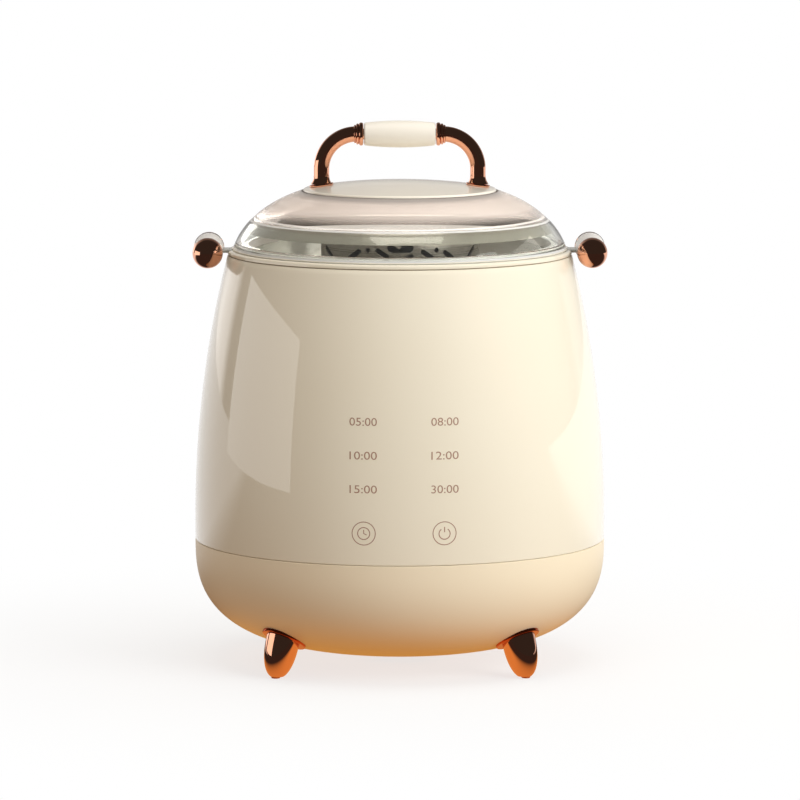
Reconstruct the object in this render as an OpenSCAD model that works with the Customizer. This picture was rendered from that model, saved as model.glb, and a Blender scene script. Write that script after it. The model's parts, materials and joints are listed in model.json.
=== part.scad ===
// Countertop egg cooker: a round two-part body on splayed feet, a lift-out pot with side
// grips, a domed steam rack and a clear lid with an arched handle.
// The origin is on the ground, under the middle of the body. +Z is up, the front faces -Y.

/* [Body] */
// Widest diameter of the body
body_d = 189.9; // [184:0.1:196]
// Height of the widest point above the ground
widest_z = 67; // [62:1:72]
// Radius of the long arc that the side follows
side_arc = 488; // [470:1:560]
// Height of the rim of the upper shell
rim_z = 189; // [186:0.5:194]
// Height of the seam between the two shells
seam_z = 57; // [54:0.5:60]
// Wall of the upper shell
upper_wall = 2.5; // [2:0.1:2.8]
// Wall of the lower shell
lower_wall = 3; // [2.6:0.1:3.2]
// Room under the belly of the lower shell
belly_z = 6.4; // [5.5:0.1:8]
// Radius of the flat spot under the belly
belly_flat_r = 11.9; // [8:0.1:16]
// Squareness of the belly, where 2 is an ellipse
belly_power = 2.74; // [2.5:0.01:2.9]
// Height of the tongue that joins the shells
seam_tongue_h = 5; // [3:0.5:8]
// Thickness of the tongue
seam_tongue_t = 1.6; // [1.2:0.1:2]

/* [Rim ring] */
// Height of the ring above the shell
ring_h = 2.2; // [1.8:0.1:2.6]
// Rounding of the ring's outer edge
ring_round = 1.2; // [0.6:0.1:1.6]
// Height of the seam under the ring
ring_seam = 0.4; // [0.2:0.05:0.8]
// Depth of the ring's spigot inside the shell
ring_spigot_h = 3; // [2:0.5:5]

/* [Feet] */
// Distance from the widest point in to each foot's root
foot_inset = 19.5; // [17:0.1:22]
// Outward lean of a foot, in degrees
foot_lean = 15.6; // [10:0.1:20]
// Radius of a foot at its root
foot_r = 7.4; // [6.5:0.1:8.2]
// Radius of the collar around a foot's root
collar_r = 10.5; // [9.6:0.1:11.5]
// Thickness of the collar
collar_t = 1.4; // [1.1:0.1:1.8]
// How far the collar is let into the shell
collar_sink = 1; // [0.8:0.1:1.2]
// Radius of the pad under a foot
pad_r = 2.1; // [1.6:0.1:2.6]
// Height of the pad
pad_h = 0.8; // [0.6:0.1:1.2]
// Radius of the pad's stem
pad_stem_r = 1; // [0.8:0.1:1.2]
// Length of the pad's stem
pad_stem_l = 3; // [2:0.5:4]

/* [Pot] */
// Distance from the body's rim in to the pot's wall
pot_inset = 6.9; // [6.6:0.1:7.6]
// Wall of the pot
pot_wall = 0.9; // [0.7:0.1:1.2]
// Height of the pot's floor above the ground
pot_floor_z = 74; // [71:0.5:78]
// Radius of the pot's bottom corner
pot_corner = 12; // [8:0.5:16]
// Depth of the rack's ledge below the pot's rim
ledge_drop = 16; // [13:0.5:20]
// Width of the ledge
ledge_w = 1.4; // [1:0.1:2]
// Width of the pot's flange
flange_w = 4.7; // [4:0.1:5.2]
// Thickness of the pot's flange
flange_t = 0.8; // [0.6:0.1:1]

/* [Side handles] */
// Distance from the body's rim out to each side grip's axis
grip_out = 8.9; // [8:0.1:11]
// Radius of a side grip
side_grip_r = 6.8; // [6:0.1:6.9]
// Length of a side grip between its caps
side_grip_l = 28; // [24:0.5:34]
// Radius of a grip's end cap
cap_r = 7; // [7:0.1:7.5]
// Width of the straight band of an end cap
cap_band = 1.6; // [1:0.1:2.5]
// Width of the arm that carries a grip
arm_w = 16; // [12:0.5:20]
// Thickness of the arm
arm_t = 1.1; // [0.9:0.1:1.2]
// Radius of the rod inside a grip
arm_rod_r = 2.5; // [2:0.1:3]
// How far the rod reaches into each cap
rod_in_cap = 4; // [3:0.5:5]

/* [Steam rack] */
// Thickness of the rack's sheet
rack_t = 0.8; // [0.6:0.1:1]
// Distance from the pot's wall in to the raised centre
hat_inset = 37; // [35:0.5:40]
// Height of the raised centre above the rack's floor
hat_h = 22; // [19:0.5:24]
// Rounding between the hat's wall and its top
hat_round = 5; // [4:0.5:7]
// Radius of the flare at the foot of the hat
hat_flare = 4; // [3:0.5:5]
// Length of a vent slot
slot_l = 9.5; // [7:0.5:10]
// Width of a vent slot and of the round vents
slot_w = 2.2; // [1.8:0.1:2.6]
// Length of the finger hole
finger_l = 12; // [10:0.5:13]
// Height of the finger hole
finger_w = 4.6; // [4.2:0.1:5]
// Height of the rack's rolled outer edge
rack_lip_h = 3; // [2:0.5:5]

/* [Lid] */
// Distance from the body's rim in to the lid's edge
lid_inset = 2.4; // [2.2:0.1:3]
// Wall of the clear lid
lid_wall = 2.5; // [2:0.1:2.8]
// Height of the shoulder above the lid's lower edge
shoulder_h = 12.9; // [12:0.1:14]
// Distance from the lid's edge in to its shoulder
shoulder_inset = 8.6; // [8:0.1:9.4]
// Radius of the skirt's outward curve
skirt_arc = 34; // [31:1:60]
// Height of the crown above the shoulder's base circle
crown_h = 41.9; // [41:0.1:43]
// How far the crown's base circle stands outside the lid's edge
crown_over = 0.2; // [0:0.1:0.5]
// Squareness of the crown, where 2 is an ellipse
crown_power = 2.32; // [2.28:0.01:2.36]
// Width of the rib round the shoulder
shoulder_rib = 0.7; // [0.4:0.1:1]
// Height of the steel trim ring inside the skirt
trim_h = 4.4; // [3.6:0.1:5]
// Thickness of the trim ring
trim_t = 0.6; // [0.4:0.1:0.8]
// Depth of the lip that centres the lid in the pot
lip_h = 2.6; // [1.5:0.1:4]
// Thickness of the lip
lip_t = 1.4; // [1:0.1:2]
// Distance from the lid's edge in to the cream top plate
plate_inset = 32.5; // [31:0.1:33.5]
// Depth of the seat that holds the top plate
plate_seat = 1.2; // [0.9:0.1:1.5]
// Radius of the top plate's crown
plate_crown_r = 280; // [240:5:400]
// Height of the top plate's edge
plate_edge_h = 1.9; // [1.7:0.1:2.6]
// Rounding of the plate's edge
plate_round = 1; // [0.6:0.1:1.2]

/* [Arched handle] */
// Distance from the plate's edge in to each leg's axis
leg_inset = 8.5; // [7:0.5:10]
// Diameter of the handle's bar
bar_d = 7.2; // [6.4:0.1:8]
// Rise of the bar's axis above the leg flanges
bar_rise = 22.8; // [19:0.5:27]
// Bend radius of the bar's axis
bar_bend = 16; // [13:0.5:18]
// Straight run of the bar from the bend to the grip
grip_run = 3.55; // [3.4:0.05:5.5]
// Diameter of the grip in the middle
grip_mid_d = 12.4; // [11.6:0.1:13]
// Diameter of the grip at its ends
grip_end_d = 10.4; // [9.8:0.1:11]
// Diameter of the rod inside the grip
grip_rod_d = 5; // [4:0.1:5.6]
// Radius of the largest bead of a collar
bead_r = 5.35; // [5:0.05:5.8]
// Width of the widest bead
bead_w = 2; // [1.6:0.1:2.2]
// Radius of a leg's flange
leg_flange_r = 5.6; // [5.2:0.1:6]
// Height of a leg's flange
leg_flange_h = 1.1; // [0.8:0.1:1.4]
// Height of the flare at the foot of a leg
leg_flare_h = 4; // [3:0.5:5]

/* [Heating] */
// Gap between the pot's wall and its well
well_gap = 1.5; // [1:0.1:1.7]
// Wall of the well
well_wall = 1.2; // [1:0.1:1.5]
// Width of the well's floor that carries the heating plate
plate_bearing = 20; // [16:0.5:22]
// Gap between the heating plate and the well's wall
hot_plate_gap = 8; // [5:0.5:12]
// Thickness of the heating plate
hot_plate_t = 9.7; // [8:0.1:10]
// Distance from the well's opening in to the element's ring
element_inset = 10; // [8.5:0.5:11]
// Radius of the element's tube
element_tube_r = 3.2; // [2.8:0.1:3.4]
// Radius of the sensor's cap
sensor_cap_r = 11.8; // [10:0.1:12]
// Radius of the sensor's stem
sensor_stem_r = 3; // [2.5:0.1:3.4]
// Thickness of the sensor's cap
sensor_cap_t = 4; // [3:0.1:5]
// Travel of the sensor
sensor_travel = 2; // [1:0.1:3]
// Depth of the sensor's holder below the heating plate
holder_h = 14; // [12:0.5:15]

/* [Electronics] */
// Distance from the cover's edge in to the power board's ends
board_end_inset = 18; // [17:0.5:19]
// Distance from the cover's edge in to the power board's sides
board_side_inset = 24; // [23:0.5:24.5]
// Height of the board's posts above the cover's floor
post_h = 12; // [10:0.5:16]
// Thickness of every circuit board
pcb_t = 1.6; // [1.2:0.1:2]
// Width of the touch board
touch_w = 60; // [56:1:64]
// Height of the touch board
touch_h = 66; // [62:1:68]
// Height of the touch board's lower edge
touch_z = 64; // [63:0.5:66]
// Distance of each key from the panel's middle line
key_dx = 17.6; // [16:0.1:19]
// Height of the two touch keys
key_z = 71.8; // [71:0.1:74]
// Height of the lowest row of indicator lamps
lamp_z = 91.6; // [90:0.1:94]
// Distance between the rows of lamps
lamp_pitch = 15.1; // [13:0.1:15.5]

/* [Mains inlet] */
// Width of the inlet's body
inlet_w = 28; // [26:0.5:30]
// Height of the inlet's body
inlet_h = 20; // [18:0.5:22]
// Depth of the inlet's body
inlet_d = 24; // [22:0.5:26]
// Height of the inlet's axis
inlet_z = 38; // [36:0.5:40]
// Wall of the inlet's socket
inlet_wall = 2; // [1.6:0.1:2.4]
// Depth of the socket
socket_d = 17; // [15:0.5:18]
// Width of the ear that each inlet screw holds
inlet_ear = 7; // [6:0.5:8]

/* [Bottom cover] */
// Distance from the widest point in to the bottom cover's edge
cover_inset = 49; // [47.5:0.5:50]
// Thickness of the bottom cover
cover_t = 2; // [1.6:0.1:2.2]
// Distance from the cover's edge in to its screws
cover_screw_inset = 4.5; // [4:0.1:5]
// Number of vent slots in the cover
vent_count = 5; // [3:1:7]
// Width of a vent slot
vent_w = 2.6; // [2:0.1:3]

/* [Screws] */
// Radius of a small screw's shank
screw_r = 1.2; // [1:0.05:1.3]
// Radius of a small screw's head
screw_head_r = 2.3; // [2:0.1:2.4]
// Height of a small screw's head
screw_head_h = 1.6; // [1.2:0.1:1.8]
// Radius of a handle screw's shank
bolt_r = 1.5; // [1.4:0.05:1.7]
// Radius of a handle screw's head
bolt_head_r = 3.2; // [2.8:0.1:3.4]
// Reach of a handle screw into its leg
bolt_reach = 10; // [8:0.5:12]

/* [Clearances] */
// Gap between pieces that come apart
gap = 0.3; // [0.2:0.05:0.4]
// Gap between a shaft and its bore
fit = 0.05; // [0.03:0.01:0.08]
// Gap between fixed pieces that lie side by side
seat_gap = 0.15; // [0.1:0.05:0.2]

/* [Hidden] */
$fn = 96;

body_r = body_d / 2;

// Side of the body: a long arc, widest at widest_z.
function side_r(z) = body_r - side_arc + sqrt(side_arc * side_arc - (z - widest_z) * (z - widest_z));

rim_r = side_r(rim_z);
pot_r = rim_r - pot_inset;
well_r = pot_r + well_gap;
hot_plate_r = well_r - hot_plate_gap;
well_hole_r = hot_plate_r - plate_bearing;
element_ring_r = well_hole_r - element_inset;
hat_r = pot_r - hat_inset;
side_grip_x = rim_r + grip_out;
lid_r = rim_r - lid_inset;
shoulder_r = lid_r - shoulder_inset;
crown_r = lid_r + crown_over;
plate_r = lid_r - plate_inset;
handle_span = 2 * (plate_r - leg_inset);
grip_l = handle_span - 2 * (bar_bend + grip_run);
foot_root_r = body_r - foot_inset;
cover_r = body_r - cover_inset;
cover_screw_r = cover_r - cover_screw_inset;
board_l = 2 * (cover_r - board_end_inset);
board_w = 2 * (cover_r - board_side_inset);

// Belly: a superellipse from the seam to the flat spot. inset moves it inwards.
belly_a = side_r(seam_z) - belly_flat_r;
belly_b = seam_z - belly_z;
function belly_point(t, inset) =
    [belly_flat_r + (belly_a - inset) * pow(cos(t), 2 / belly_power),
     seam_z - (belly_b - inset) * pow(sin(t), 2 / belly_power)];
function belly_z_at(r) =
    let(c = pow((r - belly_flat_r) / belly_a, belly_power / 2))
    seam_z - belly_b * pow(sqrt(1 - c * c), 2 / belly_power);

// Crown of the lid: a superellipse about the axis. inset moves it inwards.
ring_top_z = rim_z + ring_h;
flange_z = ring_top_z;
flange_top_z = flange_z + flange_t;
lid_z = flange_top_z;
shoulder_z = lid_z + shoulder_h;
crown_end_t = acos(pow(shoulder_r / crown_r, crown_power / 2));
crown_z = shoulder_z - crown_h * pow(sin(crown_end_t), 2 / crown_power);
function crown_t(r, inset) = acos(pow(r / (crown_r - inset), crown_power / 2));
function crown_point(t, inset) =
    [(crown_r - inset) * pow(cos(t), 2 / crown_power),
     crown_z + (crown_h - inset) * pow(sin(t), 2 / crown_power)];
function crown_z_at(r, inset) = crown_point(crown_t(r, inset), inset)[1];

// Points of an arc of radius r that bulges outwards, from p to q.
function arc_points(p, q, r, n) =
    let(d = q - p,
        half = norm(d) / 2,
        mid = (p + q) / 2,
        side = [-d[1], d[0]] / norm(d),
        c = mid + side * sqrt(r * r - half * half),
        a0 = atan2(p[1] - c[1], p[0] - c[0]),
        a1 = atan2(q[1] - c[1], q[0] - c[0]))
    [for (i = [0:n]) c + r * [cos(a0 + (a1 - a0) * i / n), sin(a0 + (a1 - a0) * i / n)]];

// Quarter circle about c, from angle a0 to a1.
function round_points(c, r, a0, a1, n = 6) =
    [for (i = [0:n]) c + r * [cos(a0 + (a1 - a0) * i / n), sin(a0 + (a1 - a0) * i / n)]];

arm_z = flange_z - arm_t;
ledge_z = flange_top_z - ledge_drop;
plate_z = crown_z_at(plate_r, 0) - plate_seat;
hot_top_z = pot_floor_z - gap;
hot_z = hot_top_z - hot_plate_t;
side_steps = 20;
belly_steps = 20;
colors_cream = [0.96, 0.91, 0.82];
colors_copper = [0.80, 0.48, 0.36];
colors_steel = [0.75, 0.75, 0.73];

// ---- Body -------------------------------------------------------------------------------

function side_points(z0, z1, inset) =
    [for (i = [0:side_steps]) let(z = z0 + (z1 - z0) * i / side_steps) [side_r(z) - inset, z]];

module upper_shell() {
    top_z = rim_z - ring_seam / 2;
    outer = side_points(seam_z + seat_gap, top_z, 0);
    inner = side_points(top_z, seam_z + seat_gap, upper_wall);
    color(colors_cream)
    difference() {
        union() {
            rotate_extrude($fn = 180)
            polygon(concat(outer, inner));
            intersection() {
                at_touch_screws()
                cylinder(r = post_r, h = board_w);
                rotate_extrude($fn = 180)
                polygon(concat([[0, seam_z]], side_points(seam_z, rim_z, upper_wall / 2), [[0, rim_z]]));
            }
        }
        at_touch_screws()
        translate([0, 0, -1])
        cylinder(r = screw_r + fit, h = touch_screw_reach + 1 + gap, $fn = 32);
    }
}

function belly_points(t0, t1, inset) =
    [for (i = [0:belly_steps]) belly_point(t0 + (t1 - t0) * i / belly_steps, inset)];

module belly_section(outer_inset, inner_inset) {
    polygon(concat(belly_points(0, 90, outer_inset), [[0, belly_z + outer_inset]],
        [[0, belly_z + inner_inset]], belly_points(90, 0, inner_inset)));
}

// A ring of the belly between two radii.
module belly_ring(outer_inset, inner_inset, r0, r1) {
    intersection() {
        belly_section(outer_inset, inner_inset);
        translate([r0, 0])
        square([r1 - r0, seam_z]);
    }
}

ledge_over_cover = 2.5;
boss_r = screw_r + 2;
boss_h = 7;

module lower_shell_section() {
    tongue_r = side_r(seam_z) - upper_wall - seat_gap;
    belly_ring(0, lower_wall, cover_r + seat_gap, body_r);
    belly_ring(cover_t + seat_gap, cover_t + seat_gap + ledge_over_cover,
        cover_screw_r - boss_r, cover_r + 2 * lower_wall);
    translate([tongue_r - seam_tongue_t, seam_z - 2 * seam_tongue_t])
    square([seam_tongue_t, seam_tongue_h + 2 * seam_tongue_t]);
}

module lower_shell() {
    color(colors_cream)
    difference() {
        union() {
            rotate_extrude($fn = 180)
            lower_shell_section();
            for (a = [45:90:315])
                rotate([0, 0, a])
                translate([cover_screw_r, 0, belly_z + cover_t + ledge_over_cover])
                cylinder(r = boss_r, h = boss_h);
            intersection() {
                at_inlet_screws()
                translate([0, 0, -inlet_d])
                cylinder(r = boss_r, h = inlet_d);
                rotate_extrude($fn = 180)
                belly_ring(lower_wall / 2, seam_z / 2, 0, body_r);
            }
        }
        at_inlet_screws()
        translate([0, 0, -inlet_screw_reach - gap])
        cylinder(r = screw_r + fit, h = inlet_screw_reach + 1, $fn = 32);
        for (a = [45:90:315])
            rotate([0, 0, a]) {
                translate([cover_screw_r, 0, 0])
                cylinder(r = screw_r + fit, h = cover_head_z + boss_h + gap);
                foot_root_frame() {
                    translate([0, 0, -collar_sink])
                    cylinder(r = collar_r + seat_gap, h = 3 * collar_t);
                    translate([0, 0, -2 * lower_wall])
                    cylinder(r = screw_r + fit, h = 3 * lower_wall);
                }
            }
        inlet_cut();
    }
}

module rim_ring() {
    outer_r = rim_r;
    inner_r = pot_r + gap;
    bottom_z = rim_z - ring_spigot_h;
    color(colors_cream)
    difference() {
        rotate_extrude($fn = 180)
        polygon(concat(
            [[inner_r, bottom_z], [outer_r - upper_wall - seat_gap, bottom_z]],
            [[outer_r - upper_wall - seat_gap, rim_z - ring_seam / 2]],
            [[outer_r - 1, rim_z - ring_seam / 2], [outer_r - 1, rim_z + ring_seam / 2]],
            [[outer_r, rim_z + ring_seam / 2]],
            round_points([outer_r - ring_round, ring_top_z - ring_round], ring_round, 0, 90),
            [[inner_r, ring_top_z]]));
        for (s = [0, 180])
            rotate([0, 0, s])
            translate([inner_r - 1, -arm_w / 2 - gap, arm_z - gap])
            cube([outer_r, arm_w + 2 * gap, ring_h + arm_t]);
    }
}

module inner_liner() {
    floor_z = hot_z - well_wall;
    top_z = rim_z - ring_spigot_h;
    color(colors_steel)
    rotate_extrude()
    polygon([[well_hole_r, floor_z], [well_r + well_wall, floor_z], [well_r + well_wall, top_z],
        [well_r, top_z], [well_r, hot_z], [well_hole_r, hot_z]]);
}

// ---- Heating ----------------------------------------------------------------------------

element_z = hot_z - element_tube_r * 0.6;
sensor_hole_r = sensor_cap_r + 4 * gap;
holder_r = sensor_cap_r + 3;
holder_wall = 1.5;
holder_floor_z = hot_z - holder_h;
clip_t = 1.2;

module heating_plate() {
    color([0.72, 0.72, 0.74])
    difference() {
        translate([0, 0, hot_z])
        cylinder(r = hot_plate_r, h = hot_plate_t);
        translate([0, 0, hot_z - 1])
        cylinder(r = sensor_hole_r, h = hot_plate_t + 2);
        translate([0, 0, element_z])
        rotate_extrude()
        translate([element_ring_r, 0])
        circle(r = element_tube_r + fit, $fn = 32);
    }
}

element_pin_r = 1.5;
element_pin_l = 11;
element_pin_a = 11;

module heating_element() {
    color([0.45, 0.42, 0.40]) {
        translate([0, 0, element_z])
        rotate_extrude()
        translate([element_ring_r, 0])
        circle(r = element_tube_r, $fn = 32);
        for (a = [-element_pin_a, element_pin_a])
            rotate([0, 0, a + 90])
            translate([element_ring_r, 0, element_z - element_pin_l])
            cylinder(r = element_pin_r, h = element_pin_l, $fn = 24);
    }
}

// The cut-out fills the room between the sensor holder and the element.
cutout_gap = 2.0;
cutout_r = (element_ring_r - element_tube_r - holder_r) / 2 - cutout_gap;
cutout_h = 6;
cutout_place_r = (holder_r + element_ring_r - element_tube_r) / 2;

module overheat_cutout() {
    color([0.30, 0.28, 0.26])
    translate([-cutout_place_r, 0, hot_z - cutout_h])
    cylinder(r = cutout_r, h = cutout_h);
    color([0.75, 0.60, 0.30])
    translate([-cutout_place_r, 0, hot_z - cutout_h])
    for (s = [-1, 1])
        translate([0, s * cutout_r / 2, -4])
        cylinder(r = 1, h = 4, $fn = 24);
}

fuse_r = 2.2;
fuse_l = 15;

module thermal_fuse() {
    color([0.85, 0.85, 0.88])
    translate([cutout_place_r, 0, hot_z - fuse_r])
    rotate([90, 0, 0])
    cylinder(r = fuse_r, h = fuse_l, center = true);
}

module sensor_holder() {
    color([0.25, 0.25, 0.27])
    translate([0, 0, holder_floor_z])
    difference() {
        cylinder(r = holder_r, h = holder_h);
        translate([0, 0, holder_wall])
        cylinder(r = holder_r - holder_wall, h = holder_h);
        translate([0, 0, -1])
        cylinder(r = sensor_stem_r + fit, h = holder_h);
    }
}

clip_z = holder_floor_z - gap - clip_t;
clip_groove = 0.5;

module temperature_sensor() {
    color([0.80, 0.80, 0.78])
    difference() {
        union() {
            translate([0, 0, hot_top_z - sensor_cap_t])
            cylinder(r = sensor_cap_r, h = sensor_cap_t);
            translate([0, 0, clip_z - 2])
            cylinder(r = sensor_stem_r, h = hot_top_z - clip_z - sensor_cap_t + 3);
        }
        translate([0, 0, clip_z])
        difference() {
            cylinder(r = sensor_stem_r + 1, h = clip_t);
            translate([0, 0, -1])
            cylinder(r = sensor_stem_r - clip_groove, h = clip_t + 2);
        }
    }
}

module sensor_clip() {
    color([0.35, 0.35, 0.37])
    translate([0, 0, clip_z + fit])
    difference() {
        cylinder(r = sensor_stem_r + 1.8, h = clip_t - 2 * fit);
        translate([0, 0, -1])
        cylinder(r = sensor_stem_r - clip_groove + fit, h = clip_t + 2);
    }
}

// A tube of radius r along a list of points, closed at both ends.
function sweep_ring(p, d, r, sides) =
    let(up = abs(d[2]) > 0.9 ? [1, 0, 0] : [0, 0, 1],
        u = cross(up, d) / norm(cross(up, d)),
        v = cross(d, u))
    [for (k = [0:sides - 1]) p + r * (cos(360 * k / sides) * u + sin(360 * k / sides) * v)];
function unit(v) = v / norm(v);

module swept_tube(path, r, sides = 8) {
    n = len(path);
    rings = [for (i = [0:n - 1])
        sweep_ring(path[i], unit(path[min(i + 1, n - 1)] - path[max(i - 1, 0)]), r, sides)];
    points = [for (ring = rings) for (p = ring) p];
    walls = [for (i = [0:n - 2]) for (k = [0:sides - 1])
        let(a = i * sides + k, b = i * sides + (k + 1) % sides)
        each [[a, b, b + sides], [a, b + sides, a + sides]]];
    ends = [[for (k = [sides - 1:-1:0]) k], [for (k = [0:sides - 1]) (n - 1) * sides + k]];
    polyhedron(points, concat(walls, ends), convexity = 6);
}

spring_wire_r = 0.5;
spring_coil_r = 7;
spring_turns = 5;
spring_steps = 16;

module sensor_spring() {
    z0 = holder_floor_z + holder_wall + spring_wire_r + fit;
    z1 = hot_top_z - sensor_cap_t - spring_wire_r - fit;
    count = spring_turns * spring_steps;
    path = [for (i = [0:count])
        let(a = 360 * i / spring_steps)
        [spring_coil_r * cos(a), spring_coil_r * sin(a), z0 + (z1 - z0) * i / count]];
    color([0.65, 0.65, 0.67])
    swept_tube(path, spring_wire_r);
}

// ---- Touch panel ------------------------------------------------------------------------

// Distance from the axis to the board's front, so that its corners clear the shell.
touch_corner_r = side_r(touch_z + touch_h) - upper_wall - 1;
touch_front_y = -sqrt(pow(touch_corner_r, 2) - pow(touch_w / 2, 2));
touch_screw_dx = touch_w / 2 - 4;
touch_screw_dz = touch_h / 2 - 4;
touch_mid_z = touch_z + touch_h / 2;

module at_touch_screws() {
    for (sx = [-1, 1], sz = [-1, 1])
        translate([sx * touch_screw_dx, touch_front_y, touch_mid_z + sz * touch_screw_dz])
        rotate([90, 0, 0])
        children();
}

module touch_board() {
    color([0.10, 0.35, 0.20])
    difference() {
        translate([-touch_w / 2, touch_front_y, touch_z])
        cube([touch_w, pcb_t, touch_h]);
        at_touch_screws()
        translate([0, 0, -2 * pcb_t])
        cylinder(r = screw_r + fit, h = 3 * pcb_t, $fn = 32);
    }
}

touch_screw_reach = 3;

module touch_board_screws() {
    color([0.7, 0.7, 0.72])
    at_touch_screws() {
        translate([0, 0, -pcb_t - screw_head_h])
        cylinder(r = screw_head_r, h = screw_head_h, $fn = 32);
        translate([0, 0, -pcb_t])
        cylinder(r = screw_r, h = pcb_t + touch_screw_reach, $fn = 32);
    }
}

key_pad_r = 4.6;

module touch_springs() {
    far_x = key_dx + key_pad_r;
    wall_y = -sqrt(pow(side_r(key_z) - upper_wall - 1, 2) - pow(far_x, 2));
    color([0.85, 0.65, 0.35])
    for (s = [-1, 1])
        translate([s * key_dx, touch_front_y, key_z])
        rotate([90, 0, 0])
        cylinder(r = key_pad_r, h = touch_front_y - wall_y);
}

lamp_w = 5;
lamp_h = 3;
lamp_d = 2;

module indicator_leds() {
    color([1.0, 0.95, 0.85])
    for (s = [-1, 1], row = [0:2])
        translate([s * key_dx - lamp_w / 2, touch_front_y - lamp_d,
            lamp_z + row * lamp_pitch - lamp_h / 2])
        cube([lamp_w, lamp_d, lamp_h]);
}

// ---- Power board and bottom cover -------------------------------------------------------

post_r = 3;
post_dx = board_l / 2 - post_r - 1;
post_dy = board_w / 2 - post_r - 1;
cover_floor_z = belly_z + cover_t;
board_z = cover_floor_z + post_h;
board_top_z = board_z + pcb_t;

module at_posts() {
    for (sx = [-1, 1], sy = [-1, 1])
        translate([sx * post_dx, sy * post_dy, 0])
        children();
}

module power_board() {
    color([0.10, 0.35, 0.20])
    difference() {
        translate([-board_l / 2, -board_w / 2, board_z])
        cube([board_l, board_w, pcb_t]);
        at_posts()
        translate([0, 0, board_z - 1])
        cylinder(r = screw_r + fit, h = pcb_t + 2, $fn = 32);
    }
}

relay_size = [19, 15, 15];
transformer_size = [20, 17, 16];
capacitor_r = 5;
capacitor_h = 16;

module relay() {
    color([0.15, 0.30, 0.60])
    translate([-20, -relay_size[1] / 2, board_top_z])
    cube(relay_size);
}

module transformer() {
    color([0.85, 0.75, 0.30])
    translate([2, -transformer_size[1] / 2, board_top_z])
    cube(transformer_size);
}

module capacitor() {
    color([0.12, 0.12, 0.14])
    translate([0, transformer_size[1] / 2 + capacitor_r + 1, board_top_z])
    cylinder(r = capacitor_r, h = capacitor_h);
}

module board_screws() {
    color([0.7, 0.7, 0.72])
    at_posts() {
        translate([0, 0, board_top_z])
        cylinder(r = screw_head_r, h = screw_head_h, $fn = 32);
        translate([0, 0, board_z - post_h / 2])
        cylinder(r = screw_r, h = post_h / 2 + pcb_t, $fn = 32);
    }
}

vent_l = 26;
vent_pitch = 6;

module bottom_cover() {
    color(colors_cream)
    difference() {
        union() {
            rotate_extrude($fn = 120)
            belly_ring(0, cover_t, 0, cover_r);
            at_posts()
            translate([0, 0, cover_floor_z - 1])
            cylinder(r = post_r, h = post_h + 1);
        }
        at_posts()
        translate([0, 0, board_z - post_h * 0.7])
        cylinder(r = screw_r + fit, h = post_h, $fn = 32);
        for (i = [0:vent_count - 1])
            translate([-vent_l / 2, (i - (vent_count - 1) / 2) * vent_pitch - vent_w / 2, 0])
            cube([vent_l, vent_w, cover_floor_z + 1]);
        for (a = [45:90:315])
            rotate([0, 0, a])
            translate([cover_screw_r, 0, 0]) {
                cylinder(r = screw_r + fit, h = cover_floor_z + 3, $fn = 32);
                cylinder(r = screw_head_r + seat_gap, h = cover_head_z + screw_head_h, $fn = 32);
            }
    }
}

// The heads of the cover's screws sit in shallow counterbores.
cover_head_z = belly_z_at(cover_screw_r) - screw_head_h / 2;

module cover_screws() {
    color([0.7, 0.7, 0.72])
    for (a = [45:90:315])
        rotate([0, 0, a])
        translate([cover_screw_r, 0, cover_head_z]) {
            cylinder(r = screw_head_r, h = screw_head_h, $fn = 32);
            cylinder(r = screw_r, h = boss_h, $fn = 32);
        }
}

// ---- Mains inlet ------------------------------------------------------------------------

inlet_face_y = side_r(seam_z) - 2 * lower_wall;
inlet_back_y = inlet_face_y - inlet_d;
inlet_ear_y = inlet_face_y - 12;
inlet_ear_t = 2;
inlet_screw_reach = 5;

module inlet_cut() {
    translate([-inlet_w / 2 - seat_gap, inlet_back_y, inlet_z - inlet_h / 2 - seat_gap])
    cube([inlet_w + 2 * seat_gap, inlet_d * 2, inlet_h + 2 * seat_gap]);
}

module mains_inlet() {
    color([0.16, 0.16, 0.17])
    difference() {
        union() {
            translate([-inlet_w / 2, inlet_back_y, inlet_z - inlet_h / 2])
            cube([inlet_w, inlet_d, inlet_h]);
            translate([-inlet_w / 2 - inlet_ear, inlet_ear_y - inlet_ear_t, inlet_z - inlet_h / 4])
            cube([inlet_w + 2 * inlet_ear, inlet_ear_t, inlet_h / 2]);
        }
        translate([-inlet_w / 2 + inlet_wall, inlet_face_y - socket_d, inlet_z - inlet_h / 2 + inlet_wall])
        cube([inlet_w - 2 * inlet_wall, socket_d + 1, inlet_h - 2 * inlet_wall]);
        at_inlet_screws()
        translate([0, 0, -6])
        cylinder(r = screw_r + fit, h = 12, $fn = 32);
        at_inlet_pins()
        cube(pin_size + [2 * fit, 2 * fit, 0], center = true);
    }
}

module at_inlet_screws() {
    for (s = [-1, 1])
        translate([s * (inlet_w / 2 + inlet_ear / 2), inlet_ear_y, inlet_z])
        rotate([90, 0, 0])
        children();
}

module inlet_screws() {
    color([0.7, 0.7, 0.72])
    at_inlet_screws() {
        translate([0, 0, inlet_ear_t])
        cylinder(r = screw_head_r, h = screw_head_h, $fn = 32);
        translate([0, 0, -inlet_screw_reach])
        cylinder(r = screw_r, h = inlet_screw_reach + inlet_ear_t, $fn = 32);
    }
}

pin_size = [2, 4, 18];
pin_pitch = 7;
pin_drop = 2;

module at_inlet_pins() {
    for (k = [-1:1])
        translate([k * pin_pitch, inlet_face_y - socket_d, inlet_z + (k == 0 ? 1 : -1) * pin_drop])
        rotate([90, 0, 0])
        children();
}

module inlet_pins() {
    color([0.85, 0.70, 0.35])
    at_inlet_pins()
    translate([0, 0, -2])
    cube(pin_size, center = true);
}

// ---- Internal wires ---------------------------------------------------------------------

wire_r = 1;
wire_pitch = 3;
touch_wire_y = touch_front_y + pcb_t + wire_r + seat_gap;

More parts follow.
